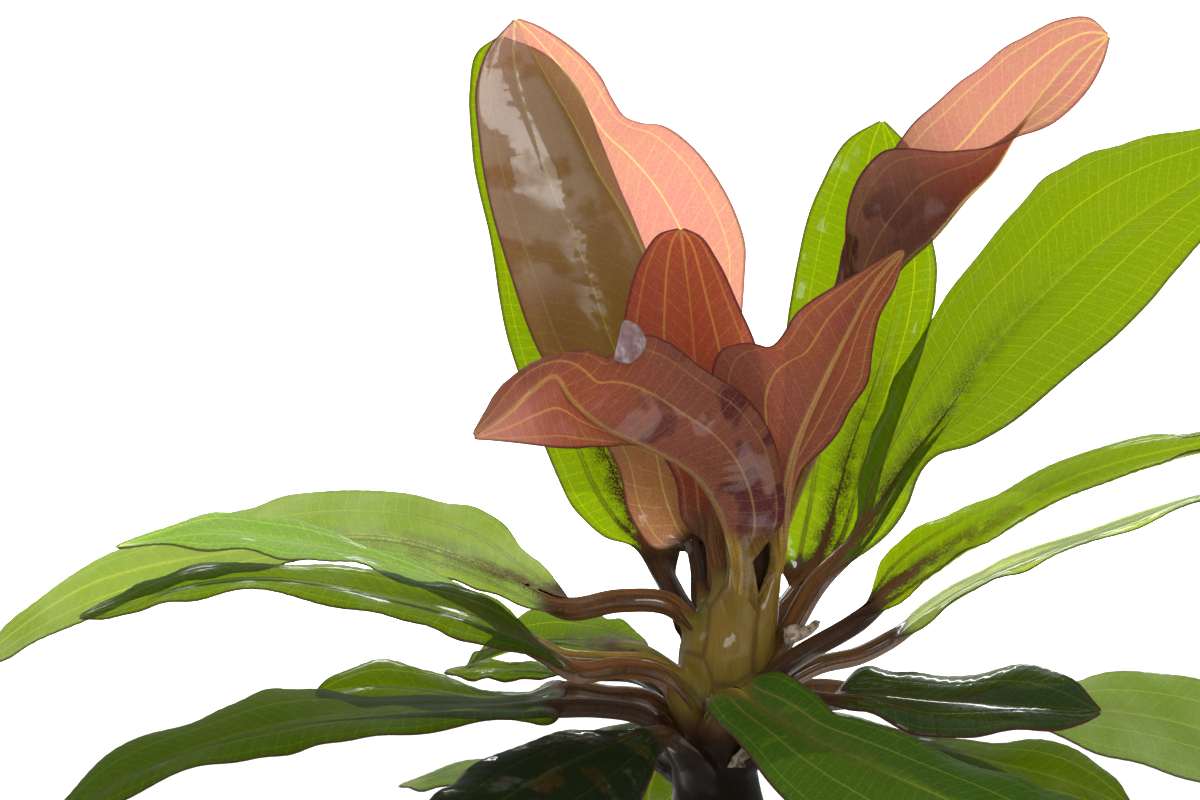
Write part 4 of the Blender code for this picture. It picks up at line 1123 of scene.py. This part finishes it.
def foot_of(leaf, settings):
    """The thick foot of a petiole, from inside the crown out along the stalk: its middle line, the way to its
    side, half its width, half its thickness, and how far each ring has come, from 0 to 1."""
    start = np.array(leaf.rib[0])
    inside = np.array([np.interp(start[2], CROWN_HEIGHTS, CROWN_LEANS), 0, 0])
    outward = unit((start - inside) * (1, 1, 0))
    lowest = max(start[2] - settings.foot_drop, LOWEST_ROOT)
    inside = inside + outward * settings.foot_root + (0, 0, lowest)
    length = run_of(np.array(leaf.rib, float))[1]
    along = np.linspace(0, settings.foot_reach / length, settings.foot_rings)
    joint = np.vstack([inside[None], rib_of(leaf, along)[0]])
    knots, _ = run_of(joint)
    ahead = np.linspace(0, 1, settings.foot_rings)
    come = np.interp(ahead, [0, knots[1], 1], [0, 0.5, 1])
    side = half_of(leaf, 1, np.full(len(ahead), along[1]))
    wide, stages = settings.foot_width, [0, 0.5, 1]
    width = np.interp(come, stages, [wide * FOOT_SWELLING, wide, leaf.neck + leaf.stout - WITHIN_SIDES])
    thick = np.interp(come, stages, [wide, wide * FOOT_FLATNESS, NECK_THICKNESS / 2 - WITHIN_FACES])
    return smooth_through(knots, joint, ahead), side, width, thick, come


def tube(line, side, width, thick, sides):
    """Rings of points round a line, in millimetres."""
    tangent = unit(np.gradient(line, axis=0))
    side = unit(side - tangent * (side * tangent).sum(axis=1, keepdims=True))
    up = np.cross(side, tangent)
    turn = np.linspace(0, 2 * np.pi, sides, endpoint=False)
    across = side[:, None] * (np.cos(turn)[None, :] * width[:, None])[..., None]
    rise = up[:, None] * (np.sin(turn)[None, :] * thick[:, None])[..., None]
    return line[:, None] + across + rise


def closed_rings(rings, above=0):
    """Points and faces of a closed body through rings of points. above is added to every vertex number."""
    count, sides = rings.shape[:2]
    index = np.arange(count * sides).reshape(count, sides) + above
    ring = np.concatenate([index, index[:, :1]], axis=1)
    ends = [index[0, ::-1].tolist(), index[-1].tolist()]
    return rings.reshape(-1, 3), grid_faces(ring, False).tolist() + ends


def fused(points, faces, voxel):
    """One body's mesh, in metres, out of several closed bodies that run into one another."""
    mesh = mesh_from("feet", points, faces)
    rough = bpy.data.objects.new("feet", mesh)
    bpy.context.scene.collection.objects.link(rough)
    remesh = rough.modifiers.new("fuse", "REMESH")
    remesh.mode = "VOXEL"
    remesh.voxel_size = voxel
    graph = bpy.context.evaluated_depsgraph_get()
    made = bpy.data.meshes.new_from_object(rough.evaluated_get(graph))
    bpy.data.objects.remove(rough)
    bpy.data.meshes.remove(mesh)
    made.name = "crown_body"
    return made


def soften(mesh, rounds):
    """Smooths a mesh, keeping its flat foot where it is, and returns its points in millimetres."""
    points = np.empty(len(mesh.vertices) * 3)
    mesh.vertices.foreach_get("co", points)
    points = points.reshape(-1, 3) / MM
    ends = np.empty(len(mesh.edges) * 2, np.int32)
    mesh.edges.foreach_get("vertices", ends)
    first, second = ends.reshape(-1, 2).T
    count = np.bincount(ends, minlength=len(points))[:, None]
    resting = points[:, 2] < FOOT_FLAT
    points[resting, 2] = 0
    for _ in range(rounds):
        total = np.zeros_like(points)
        np.add.at(total, first, points[second])
        np.add.at(total, second, points[first])
        points = points + 0.5 * (total / count - points)
        points[resting, 2] = 0
    mesh.vertices.foreach_set("co", (points * MM).ravel())
    return points


def foot_tones(points, feet):
    """How dark each point of the crown is, partly the brown of its tissue and partly painted shade low down,
    and how near it lies to the line where two feet meet.
    """
    tones = {name: place / 3 for place, name in enumerate(STALKS)}
    heart = np.interp(points[:, 2], HEART_HEIGHTS, HEART_TONES)
    nearest = np.full(len(points), 1e3)
    second = nearest.copy()
    total, weights = np.zeros(len(points)), np.full(len(points), 1e-9)
    for leaf, (line, _, width, _, come) in zip(LEAVES, feet):
        gaps = np.linalg.norm(points[:, None] - line[None], axis=2) - width[None] * 0.9
        place = gaps.argmin(axis=1)
        gap = gaps[np.arange(len(points)), place]
        tone = heart + (tones[leaf.stalk] - heart) * ease((come[place] - 0.5) / 0.4)
        weight = np.exp(-np.clip(gap, -9, 40) / 0.7)
        total, weights = total + weight * tone, weights + weight
        second = np.minimum(np.maximum(gap, nearest), second)
        nearest = np.minimum(gap, nearest)
    return np.stack([total / weights, near(second - nearest, 0.8)], axis=1)


def grow_crown(settings, material):
    """The short thick stem with the feet of the leaves fused to it, cut flat at the foot."""
    levels = np.linspace(0, CROWN_HEIGHTS[-1], settings.rings)
    lean = smooth_through(CROWN_HEIGHTS, CROWN_LEANS, levels)[:, 0]
    radius = smooth_through(CROWN_HEIGHTS, CROWN_RADII, levels) - settings.core_inset
    line = np.stack([lean, 0 * lean, levels], axis=1)
    turn = np.linspace(0, 2 * np.pi, settings.sides, endpoint=False)
    round_way = np.stack([np.cos(turn), np.sin(turn), 0 * turn], axis=1)
    points, faces = closed_rings(line[:, None] + round_way[None] * radius[:, None])
    feet = [foot_of(leaf, settings) for leaf in LEAVES]
    for line, side, width, thick, _ in feet:
        more, walls = closed_rings(tube(line, side, width, thick, FOOT_SIDES), len(points))
        points, faces = np.vstack([points, more]), faces + walls
    mesh = fused(points, faces, settings.voxel)
    points = soften(mesh, settings.softening)
    add_map(mesh, "tone", foot_tones(points, feet)[corners_of(mesh)])
    mesh.shade_smooth()
    mesh.update()
    for polygon in mesh.polygons:
        if polygon.normal.z < -0.9 and polygon.center.z < FOOT_FLAT * MM:
            polygon.use_smooth = False
    return shown("crown_body", mesh, material, "crown")


def grow_inner_stalk(settings, material):
    """The wet stalk that shows between the two at the front, painted the darkest tone as painted shade in the
    gap.
    """
    ahead = np.linspace(0, 1, settings.foot_rings)
    line = smooth_through(run_of(INNER_STALK)[0], INNER_STALK, ahead)
    side = np.tile([1.0, 0.0, 0.0], (len(line), 1))
    taper = 1 - INNER_TAPER * ahead
    rings = tube(line, side, INNER_HALF_WIDTH * taper, INNER_HALF_THICKNESS * taper, INNER_SIDES)
    mesh = mesh_from("inner_stalk", *closed_rings(rings))
    # Painted shade: the whole stalk takes the darkest tone.
    add_map(mesh, "tone", np.tile([1.0, 0.0], len(mesh.loops)))
    return shown("inner_stalk", mesh, material, None)


def flap_points(flap, rows, columns):
    """A torn scrap of an old leaf's foot, standing off the crown, as a grid of points in millimetres."""
    azimuth, height, length, width, curl, seed = flap
    ahead, across = np.meshgrid(np.linspace(0, 1, rows), np.linspace(-1, 1, columns), indexing="ij")
    ragged = 1 - 0.28 * np.abs(np.sin(5 * across + seed)) * ahead - 0.35 * across**2 * ahead
    rise = height + length * ahead * ragged
    radius = np.interp(height, CROWN_HEIGHTS, CROWN_RADII) + 0.1
    out = radius + curl * (ahead * ragged) ** 1.5 + 0.3 * np.sin(9 * ahead + 4 * across + seed)
    turn = math.radians(azimuth) + across * width / radius * (1 - 0.45 * ahead) / 2
    lean = np.interp(height, CROWN_HEIGHTS, CROWN_LEANS)
    return np.stack([lean + out * np.cos(turn), out * np.sin(turn), rise], axis=-1)


def grow_flaps(settings, material):
    """The papery remains of old leaves round the crown, as closed thin bodies in one piece."""
    points, faces = np.empty((0, 3)), []
    for flap in FLAPS:
        grid = flap_points(flap, settings.flap_rows, settings.flap_columns)
        back = grid - normals_of(grid) * settings.flap_thickness / MM
        more, walls = closed_sheet(grid, back, len(points))
        points, faces = np.vstack([points, more]), faces + walls
    return shown("dry_sheaths", mesh_from("dry_sheaths", points, faces), material, None)


def grow_folds(settings, materials):
    """Small pieces that curl over towards the viewer, as closed thin bodies."""
    for name, slot, bulge, edges in FOLDS:
        pairs = np.array(edges)
        knots = np.linspace(0, 1, len(pairs))
        ahead = np.linspace(0, 1, settings.flap_rows)
        first = smooth_through(knots, pairs[:, 0], ahead)[:, None]
        second = smooth_through(knots, pairs[:, 1], ahead)[:, None]
        across = np.linspace(0, 1, settings.flap_columns)[None, :, None]
        room = np.linalg.norm(second - first, axis=2, keepdims=True) / 7
        rise = bulge * room * np.sin(np.pi * across) ** 0.8
        grid = first * (1 - across) + second * across - np.array([0, 1, 0]) * rise
        back = grid + normals_of(grid) * settings.flap_thickness / MM
        shown(name, mesh_from(name, *closed_sheet(grid, back)), materials[slot], None)


def painted_sheen_lobe_material():
    """A wet margin that has curled over, with pale lilac streaks painted on it as a painted sheen of mirrored
    light.
    """
    work = Bench(bpy.data.materials.new("curled_margin"))
    place = work.place()
    streak = work.noise(place, 0.0012)
    cloud = work.noise(place, 0.004, 1.0)
    # Painted sheen: pale lilac streaks in place of light mirrored off the wet curl, over darker red patches.
    colour = work.blend(streak.rising(0.35, 0.7), (0.27, 0.17, 0.18), (0.52, 0.43, 0.44))
    colour = work.blend(cloud.rising(0.4, 0.65) * 0.7, colour, (0.22, 0.09, 0.09))
    skin = work.skin(colour, 0.3 + 0.2 * streak, 0.8, streak, depth=0.0002)
    return work.finish(work.layered(0.35, skin, work.spread((0.55, 0.42, 0.42))))


def crown_material(colours):
    """Olive, fibrous tissue of the fused feet, brown where they part, painted near black towards the bottom
    as painted shade, and pale pith on the cut face.
    """
    work = Bench(bpy.data.materials.new("crown_tissue"))
    place = work.place()
    x, y, height = work.parts(place)
    turn = x.sum("ARCTAN2", y, x)
    fibres = work.noise(work.joined(turn * 9, height * 60), 0.35, 3.0, 0.6)
    cloud = work.noise(place, 0.009)
    tone, seam = work.reads("tone")
    tone = tone * 3 + 0.9 * (cloud - 0.5)
    colour = work.blend(tone.within(), STALKS["gold"], STALKS["olive"])
    colour = work.blend((tone - 1).within(), colour, STALKS["brown"])
    colour = work.blend((tone - 2).within(), colour, STALKS["dark"])
    colour = work.blend(fibres.rising(0.4, 0.75) * 0.4, colour, colours.fibre)
    colour = work.blend(seam * 0.55, colour, colours.scar)
    # Painted shade: near black low on the crown, where shade falls under the leaves.
    colour = work.blend(height.falling(0.02, 0.044) * 0.85, colour, (0.006, 0.004, 0.003))
    radius = (x * x + y * y) ** 0.5
    pith = work.blend(work.cells(place, 620.0).rising(0.12, 0.3), colours.scar, colours.pith)
    pith = work.blend(radius.rising(0.0085, 0.0115), pith, colours.scar)
    colour = work.blend(height.rising(0.0002, 0.0006), pith, colour)
    wet = work.noise(place, 0.011).rising(0.5, 0.56)
    coat = 0.35 * wet * (0.3 + 0.7 * height.rising(0.022, 0.045))
    roughness = (0.5 - 0.2 * wet + 0.15 * fibres).within()
    more = {"Specular IOR Level": 0.15, "Coat Roughness": 0.08}
    skin = work.skin(colour, roughness, coat, fibres, 0.4, more=more)
    return work.finish(work.layered(0.1, skin, work.spread(STALKS["gold"])))


def dry_material(colours):
    """Papery dead tissue: pale, with brown veins, and thin enough for light."""
    work = Bench(bpy.data.materials.new("dry_sheath"))
    place = work.place()
    streak = work.noise(place, 0.0016, 3.0, 0.6)
    cloud = work.noise(place, 0.005)
    colour = work.blend(streak.rising(0.4, 0.7), colours.paper, colours.scar)
    colour = work.blend(cloud.rising(0.35, 0.65) * 0.5, colour, colours.fibre)
    skin = work.skin(colour, 0.3 + 0.3 * streak, 0.5 * cloud, streak, 0.5)
    return work.finish(work.layered(0.3, skin, work.spread(colours.paper)))


def studio_sky(light):
    """Soft white light, strong from behind the plant and from above, weak from the viewer's side."""
    world = bpy.data.worlds.new("studio")
    bpy.context.scene.world = world
    work = Bench(world)
    _, back, up = work.parts(work.node("ShaderNodeTexCoord", output="Generated"))
    screen = back.rising(-0.2, 0.7) * (1 - 0.7 * up.rising(0.2, 0.5))
    strength = light.fill + (light.backlight - light.fill) * screen + light.top * up.rising(0.3, 0.9)
    seen_straight = work.node("ShaderNodeLightPath", output="Is Camera Ray")
    mirrored = work.node("ShaderNodeLightPath", output="Is Glossy Ray")
    strength = strength * (1 - (1 - MIRRORED_SHARE) * mirrored)
    strength = strength + seen_straight * (SEEN_WHITE - strength).least(0.0)
    values = {"Color": (1.0, 1.0, 1.0), "Strength": strength}
    work.finish(work.node("ShaderNodeBackground", values=values), "ShaderNodeOutputWorld")


def floor_material(light):
    """Matt white board with a faint tooth, which glows: faintly near the plant, lighting it from below, and
    as bright as the backdrop further back.
    """
    work = Bench(bpy.data.materials.new("white_board"))
    place = work.place()
    tooth = work.noise(place, 0.002, 3.0)
    back = work.parts(place)[1].rising(0.25, 1.6)
    glow = [light.board_glow / light.backlight] * 3
    values = {
        "Base Color": work.blend(tooth, light.board, [part * 0.97 for part in light.board]),
        "Roughness": 0.7,
        "Emission Color": work.blend(back, glow, (1.0, 1.0, 1.0)),
        "Emission Strength": light.backlight,
    }
    return work.finish(work.node("ShaderNodeBsdfPrincipled", values=values))


def add_lamp(name, place, target, size, power):
    """A large soft lamp that faces a point."""
    lamp = bpy.data.lights.new(name, "AREA")
    lamp.shape = "RECTANGLE"
    lamp.size, lamp.size_y = size
    lamp.energy = power
    made = bpy.data.objects.new(name, lamp)
    made.location = place
    x, y, z = np.array(target) - np.array(place)
    made.rotation_euler = (math.atan2(math.hypot(x, y), -z), 0, math.atan2(-x, y))
    made.visible_camera = False
    bpy.context.scene.collection.objects.link(made)


def set_stage(light):
    """The board, the lamps and the camera at the photograph's viewing angle."""
    scene = bpy.context.scene
    side = light.board_size / 2
    corners = [(-side, -side, 0), (side, -side, 0), (side, side, 0), (-side, side, 0)]
    mesh = bpy.data.meshes.new("board")
    mesh.from_pydata(corners, [], [(0, 1, 2, 3)])
    mesh.materials.append(floor_material(light))
    floor = bpy.data.objects.new("board", mesh)
    scene.collection.objects.link(floor)
    studio_sky(light)
    for name, (power, place, target, size) in LAMPS.items():
        add_lamp(name, place, target, size, getattr(light, power))
    lens = bpy.data.cameras.new("camera")
    lens.lens, lens.sensor_width = light.lens, SENSOR_WIDTH
    camera = bpy.data.objects.new("camera", lens)
    camera.location = (VIEW_ACROSS * MM, -VIEW_DISTANCE * MM, VIEW_UP * MM)
    camera.rotation_euler = (math.pi / 2, 0, 0)
    scene.collection.objects.link(camera)
    scene.camera = camera
    scene.view_settings.view_transform = "Standard"
    for name, count in BOUNCES.items():
        setattr(scene.cycles, name, count)


def number(title, told, default, low, high, unit="NONE"):
    """A number or a measure that the user can change."""
    return FloatProperty(name=title, description=told, default=default, min=low, max=high, unit=unit)


def count(title, told, default, low, high):
    """A whole number that the user can change."""
    return IntProperty(name=title, description=told, default=default, min=low, max=high)


def colour_of(title, told, default):
    """A colour that the user can change."""
    return FloatVectorProperty(name=title, description=told, default=default, subtype="COLOR", min=0, max=1)


class LeafShape(bpy.types.PropertyGroup):
    """Sizes that every leaf shares."""

    blade_thickness: number(
        "Blade thickness", "Thickness of a blade between its nerves", 0.00045, 0.0002, 0.002, "LENGTH")
    nerve_relief: number("Nerve relief", "How far the nerves stand out, in millimetres", 0.16, 0, 1)
    quilting: number(
        "Quilting", "How far the blade bulges between cross nerves, in millimetres", 0.1, 0, 1)
    frill: number("Frill", "How far the margins ripple, in millimetres", 0.35, 0, 2)
    sheath_reach: number("Foot length", "Length of a petiole's broad foot, in millimetres", 16, 1, 60)
    sheath_width: number(
        "Foot width", "Extra half width of a petiole at the crown, in millimetres", 1.0, 0, 10)
    sheath_wrap: number(
        "Foot wrap", "How far the foot's edges bend round the crown, in millimetres", 1.0, 0, 10)
    rows: count("Rows", "Faces along a leaf", 132, 20, 300)
    columns: count("Columns", "Faces from the rib to a margin", 26, 6, 60)


class RedColours(bpy.types.PropertyGroup):
    """Colours of the young red leaves."""

    through: colour_of("Through", "Light that has come through a young blade", (0.43, 0.165, 0.13))
    nerve_through: colour_of("Through a nerve", "Light that has come through a nerve", (0.56, 0.37, 0.14))
    face: colour_of("Face", "The upper surface", (0.27, 0.078, 0.045))
    back: colour_of("Back", "The underside", (0.28, 0.10, 0.065))
    nerve: colour_of("Nerve", "Nerves on the surface", (0.42, 0.25, 0.10))
    rim: colour_of("Rim", "The margin", (0.12, 0.018, 0.02))


class GreenColours(bpy.types.PropertyGroup):
    """Colours of the grown green leaves."""

    through: colour_of("Through", "Light that has come through a blade", (0.185, 0.26, 0.003))
    nerve_through: colour_of("Through a nerve", "Light that has come through a nerve", (0.33, 0.39, 0.008))
    face: colour_of("Face", "The upper surface", (0.045, 0.12, 0.004))
    back: colour_of("Back", "The underside", (0.07, 0.125, 0.008))
    nerve: colour_of("Nerve", "Nerves on the surface", (0.18, 0.25, 0.02))
    rim: colour_of("Rim", "The margin", (0.07, 0.014, 0.012))


class CrownShape(bpy.types.PropertyGroup):
    """Sizes and colours of the crown and of the dry remains round it."""

    rings: count("Rings", "Faces up the core", 60, 20, 300)
    sides: count("Sides", "Faces round the core", 72, 20, 400)
    core_inset: number("Core inset", "How far the core lies inside the feet, in millimetres", 1.0, 0, 5)
    foot_rings: count("Foot rings", "Rings along a petiole's foot", 30, 6, 80)
    foot_reach: number(
        "Foot reach", "How far a foot runs out along its petiole, in millimetres", 15, 2, 40)
    foot_drop: number(
        "Foot drop", "How far down inside the crown a foot begins, in millimetres", 20, 2, 40)
    foot_root: number(
        "Foot root", "How far from the crown's axis a foot begins, in millimetres", 5, 0, 12)
    foot_width: number("Foot width", "Half width of a foot at the crown, in millimetres", 4.8, 1, 10)
    voxel: number("Grain", "Size of the cells in which the feet are fused", 0.0006, 0.0002, 0.003, "LENGTH")
    softening: count("Softening", "Rounds of smoothing where feet meet", 8, 0, 50)
    flap_rows: count("Flap rows", "Faces up a dry flap", 22, 4, 60)
    flap_columns: count("Flap columns", "Faces across a dry flap", 18, 4, 60)
    flap_thickness: number(
        "Flap thickness", "Thickness of a dry flap", 0.0002, 0.0001, 0.001, "LENGTH")
    fibre: colour_of("Fibres", "Fibres of the feet", (0.075, 0.042, 0.010))
    scar: colour_of("Scars", "Brown edges and scars", (0.035, 0.013, 0.005))
    pith: colour_of("Pith", "The cut face", (0.34, 0.28, 0.14))
    paper: colour_of("Paper", "Dry remains", (0.50, 0.40, 0.27))


class StudioLight(bpy.types.PropertyGroup):
    """The light, the board and the lens."""

    backlight: number("Backlight", "Brightness behind the plant", 3.0, 0, 10)
    fill: number("Fill", "Brightness on the viewer's side", 0.45, 0, 5)
    top: number("Top", "Added brightness from above", 0.5, 0, 5)
    front_power: number("Front softbox", "Power of the softbox beside the camera", 3.0, 0, 50, "POWER")
    left_power: number("Left softbox", "Power of the softbox at the left", 0.8, 0, 50, "POWER")
    strip_power: number("Back strip", "Power of the narrow lamp high at the back", 1.6, 0, 50, "POWER")
    board: colour_of("Board", "The surface that the plant rests on", (0.86, 0.86, 0.86))
    board_glow: number("Board glow", "Light that the board adds", 0.2, 0, 2)
    board_size: number("Board size", "Side of the board", 8.0, 1, 20, "LENGTH")
    lens: number("Lens", "Focal length of the camera", 120.0, 20, 300, "CAMERA")


def shared(name, make, *settings):
    """The material of that name, made the first time that it is asked for."""
    return bpy.data.materials.get(name) or make(*settings)


def material_for(leaf, scene):
    """The finish that leaves of one look and stalk share."""
    look = LOOKS[leaf.look]
    name = f"{leaf.look}_leaf_{leaf.stalk}_stalk"
    colours = scene.red_colours if look.slot == "leaf_red" else scene.green_colours
    return bpy.data.materials.get(name) or leaf_material(name, look, colours, leaf.stalk)


class LeafGroup:
    """What the operators that grow a group of leaves share."""

    group = ""

    def execute(self, context):
        for leaf in LEAVES:
            if leaf.group == self.group:
                grow_leaf(leaf, material_for(leaf, context.scene), context.scene.leaf_shape)
        return {"FINISHED"}


class PLANT_OT_heart_leaves(LeafGroup, bpy.types.Operator):
    """Grows the young red leaves in the heart of the plant"""

    bl_idname = "plant.heart_leaves"
    bl_label = "Red heart leaves"
    group = "heart"


class PLANT_OT_tall_leaves(LeafGroup, bpy.types.Operator):
    """Grows the upright green leaves behind the heart"""

    bl_idname = "plant.tall_leaves"
    bl_label = "Tall green leaves"
    group = "tall"


class PLANT_OT_right_leaves(LeafGroup, bpy.types.Operator):
    """Grows the leaves that reach out to the right"""

    bl_idname = "plant.right_leaves"
    bl_label = "Right leaves"
    group = "right"


class PLANT_OT_left_leaves(LeafGroup, bpy.types.Operator):
    """Grows the leaves that reach out to the left"""

    bl_idname = "plant.left_leaves"
    bl_label = "Left leaves"
    group = "left"


class PLANT_OT_front_leaves(LeafGroup, bpy.types.Operator):
    """Grows the two leaves that come towards the viewer"""

    bl_idname = "plant.front_leaves"
    bl_label = "Front leaves"
    group = "front"


class PLANT_OT_back_leaves(LeafGroup, bpy.types.Operator):
    """Grows the two leaves at the back"""

    bl_idname = "plant.back_leaves"
    bl_label = "Back leaves"
    group = "back"


class PLANT_OT_crown(bpy.types.Operator):
    """Makes the short thick stem"""

    bl_idname = "plant.crown"
    bl_label = "Crown"

    def execute(self, context):
        settings = context.scene.crown_shape
        grow_crown(settings, shared("crown_tissue", crown_material, settings))
        return {"FINISHED"}


class PLANT_OT_dry_sheaths(bpy.types.Operator):
    """Makes the papery remains of old leaves round the crown"""

    bl_idname = "plant.dry_sheaths"
    bl_label = "Dry sheaths"

    def execute(self, context):
        settings = context.scene.crown_shape
        grow_flaps(settings, shared("dry_sheath", dry_material, settings))
        return {"FINISHED"}


class PLANT_OT_folds(bpy.types.Operator):
    """Makes the small lobe with its painted sheen, and the dry scrap, that curl towards the viewer"""

    bl_idname = "plant.folds"
    bl_label = "Curled pieces"

    def execute(self, context):
        settings = context.scene.crown_shape
        papery = shared("dry_sheath", dry_material, settings)
        grow_folds(settings, {"leaf_red": shared("curled_margin", painted_sheen_lobe_material), "crown": papery})
        return {"FINISHED"}


class PLANT_OT_inner_stalk(bpy.types.Operator):
    """Makes the stalk between the two at the front of the heart, painted dark as shade"""

    bl_idname = "plant.inner_stalk"
    bl_label = "Inner stalk"

    def execute(self, context):
        settings = context.scene.crown_shape
        grow_inner_stalk(settings, shared("crown_tissue", crown_material, settings))
        return {"FINISHED"}


class PLANT_OT_stage(bpy.types.Operator):
    """Sets the board, the lamps and the camera"""

    bl_idname = "plant.stage"
    bl_label = "Stage"

    def execute(self, context):
        set_stage(context.scene.studio_light)
        return {"FINISHED"}


OPERATORS = (
    PLANT_OT_crown,
    PLANT_OT_dry_sheaths,
    PLANT_OT_heart_leaves,
    PLANT_OT_tall_leaves,
    PLANT_OT_right_leaves,
    PLANT_OT_left_leaves,
    PLANT_OT_front_leaves,
    PLANT_OT_back_leaves,
    PLANT_OT_folds,
    PLANT_OT_inner_stalk,
    PLANT_OT_stage,
)
SETTINGS = {
    "leaf_shape": LeafShape,
    "red_colours": RedColours,
    "green_colours": GreenColours,
    "crown_shape": CrownShape,
    "studio_light": StudioLight,
}


class PLANT_PT_sidebar(bpy.types.Panel):
    """Lists the plant's pieces and its settings"""

    bl_idname = "PLANT_PT_sidebar"
    bl_label = "Red sword plant"
    bl_space_type = "VIEW_3D"
    bl_region_type = "UI"
    bl_category = "Plant"

    def draw(self, context):
        for operator in OPERATORS:
            self.layout.operator(operator.bl_idname)
        for title, group in SETTINGS.items():
            box = self.layout.box()
            box.label(text=group.__doc__)
            for setting in group.__annotations__:
                box.prop(getattr(context.scene, title), setting)


def register():
    for group in SETTINGS.values():
        bpy.utils.register_class(group)
    for title, group in SETTINGS.items():
        setattr(bpy.types.Scene, title, PointerProperty(type=group))
    for operator in OPERATORS:
        bpy.utils.register_class(operator)
    bpy.utils.register_class(PLANT_PT_sidebar)


def unregister():
    bpy.utils.unregister_class(PLANT_PT_sidebar)
    for operator in reversed(OPERATORS):
        bpy.utils.unregister_class(operator)
    for title in SETTINGS:
        delattr(bpy.types.Scene, title)
    for group in reversed(SETTINGS.values()):
        bpy.utils.unregister_class(group)


def main():
    """Makes every piece in order."""
    register()
    for operator in OPERATORS:
        family, action = operator.bl_idname.split(".")
        getattr(getattr(bpy.ops, family), action)()


if __name__ == "__main__":
    main()
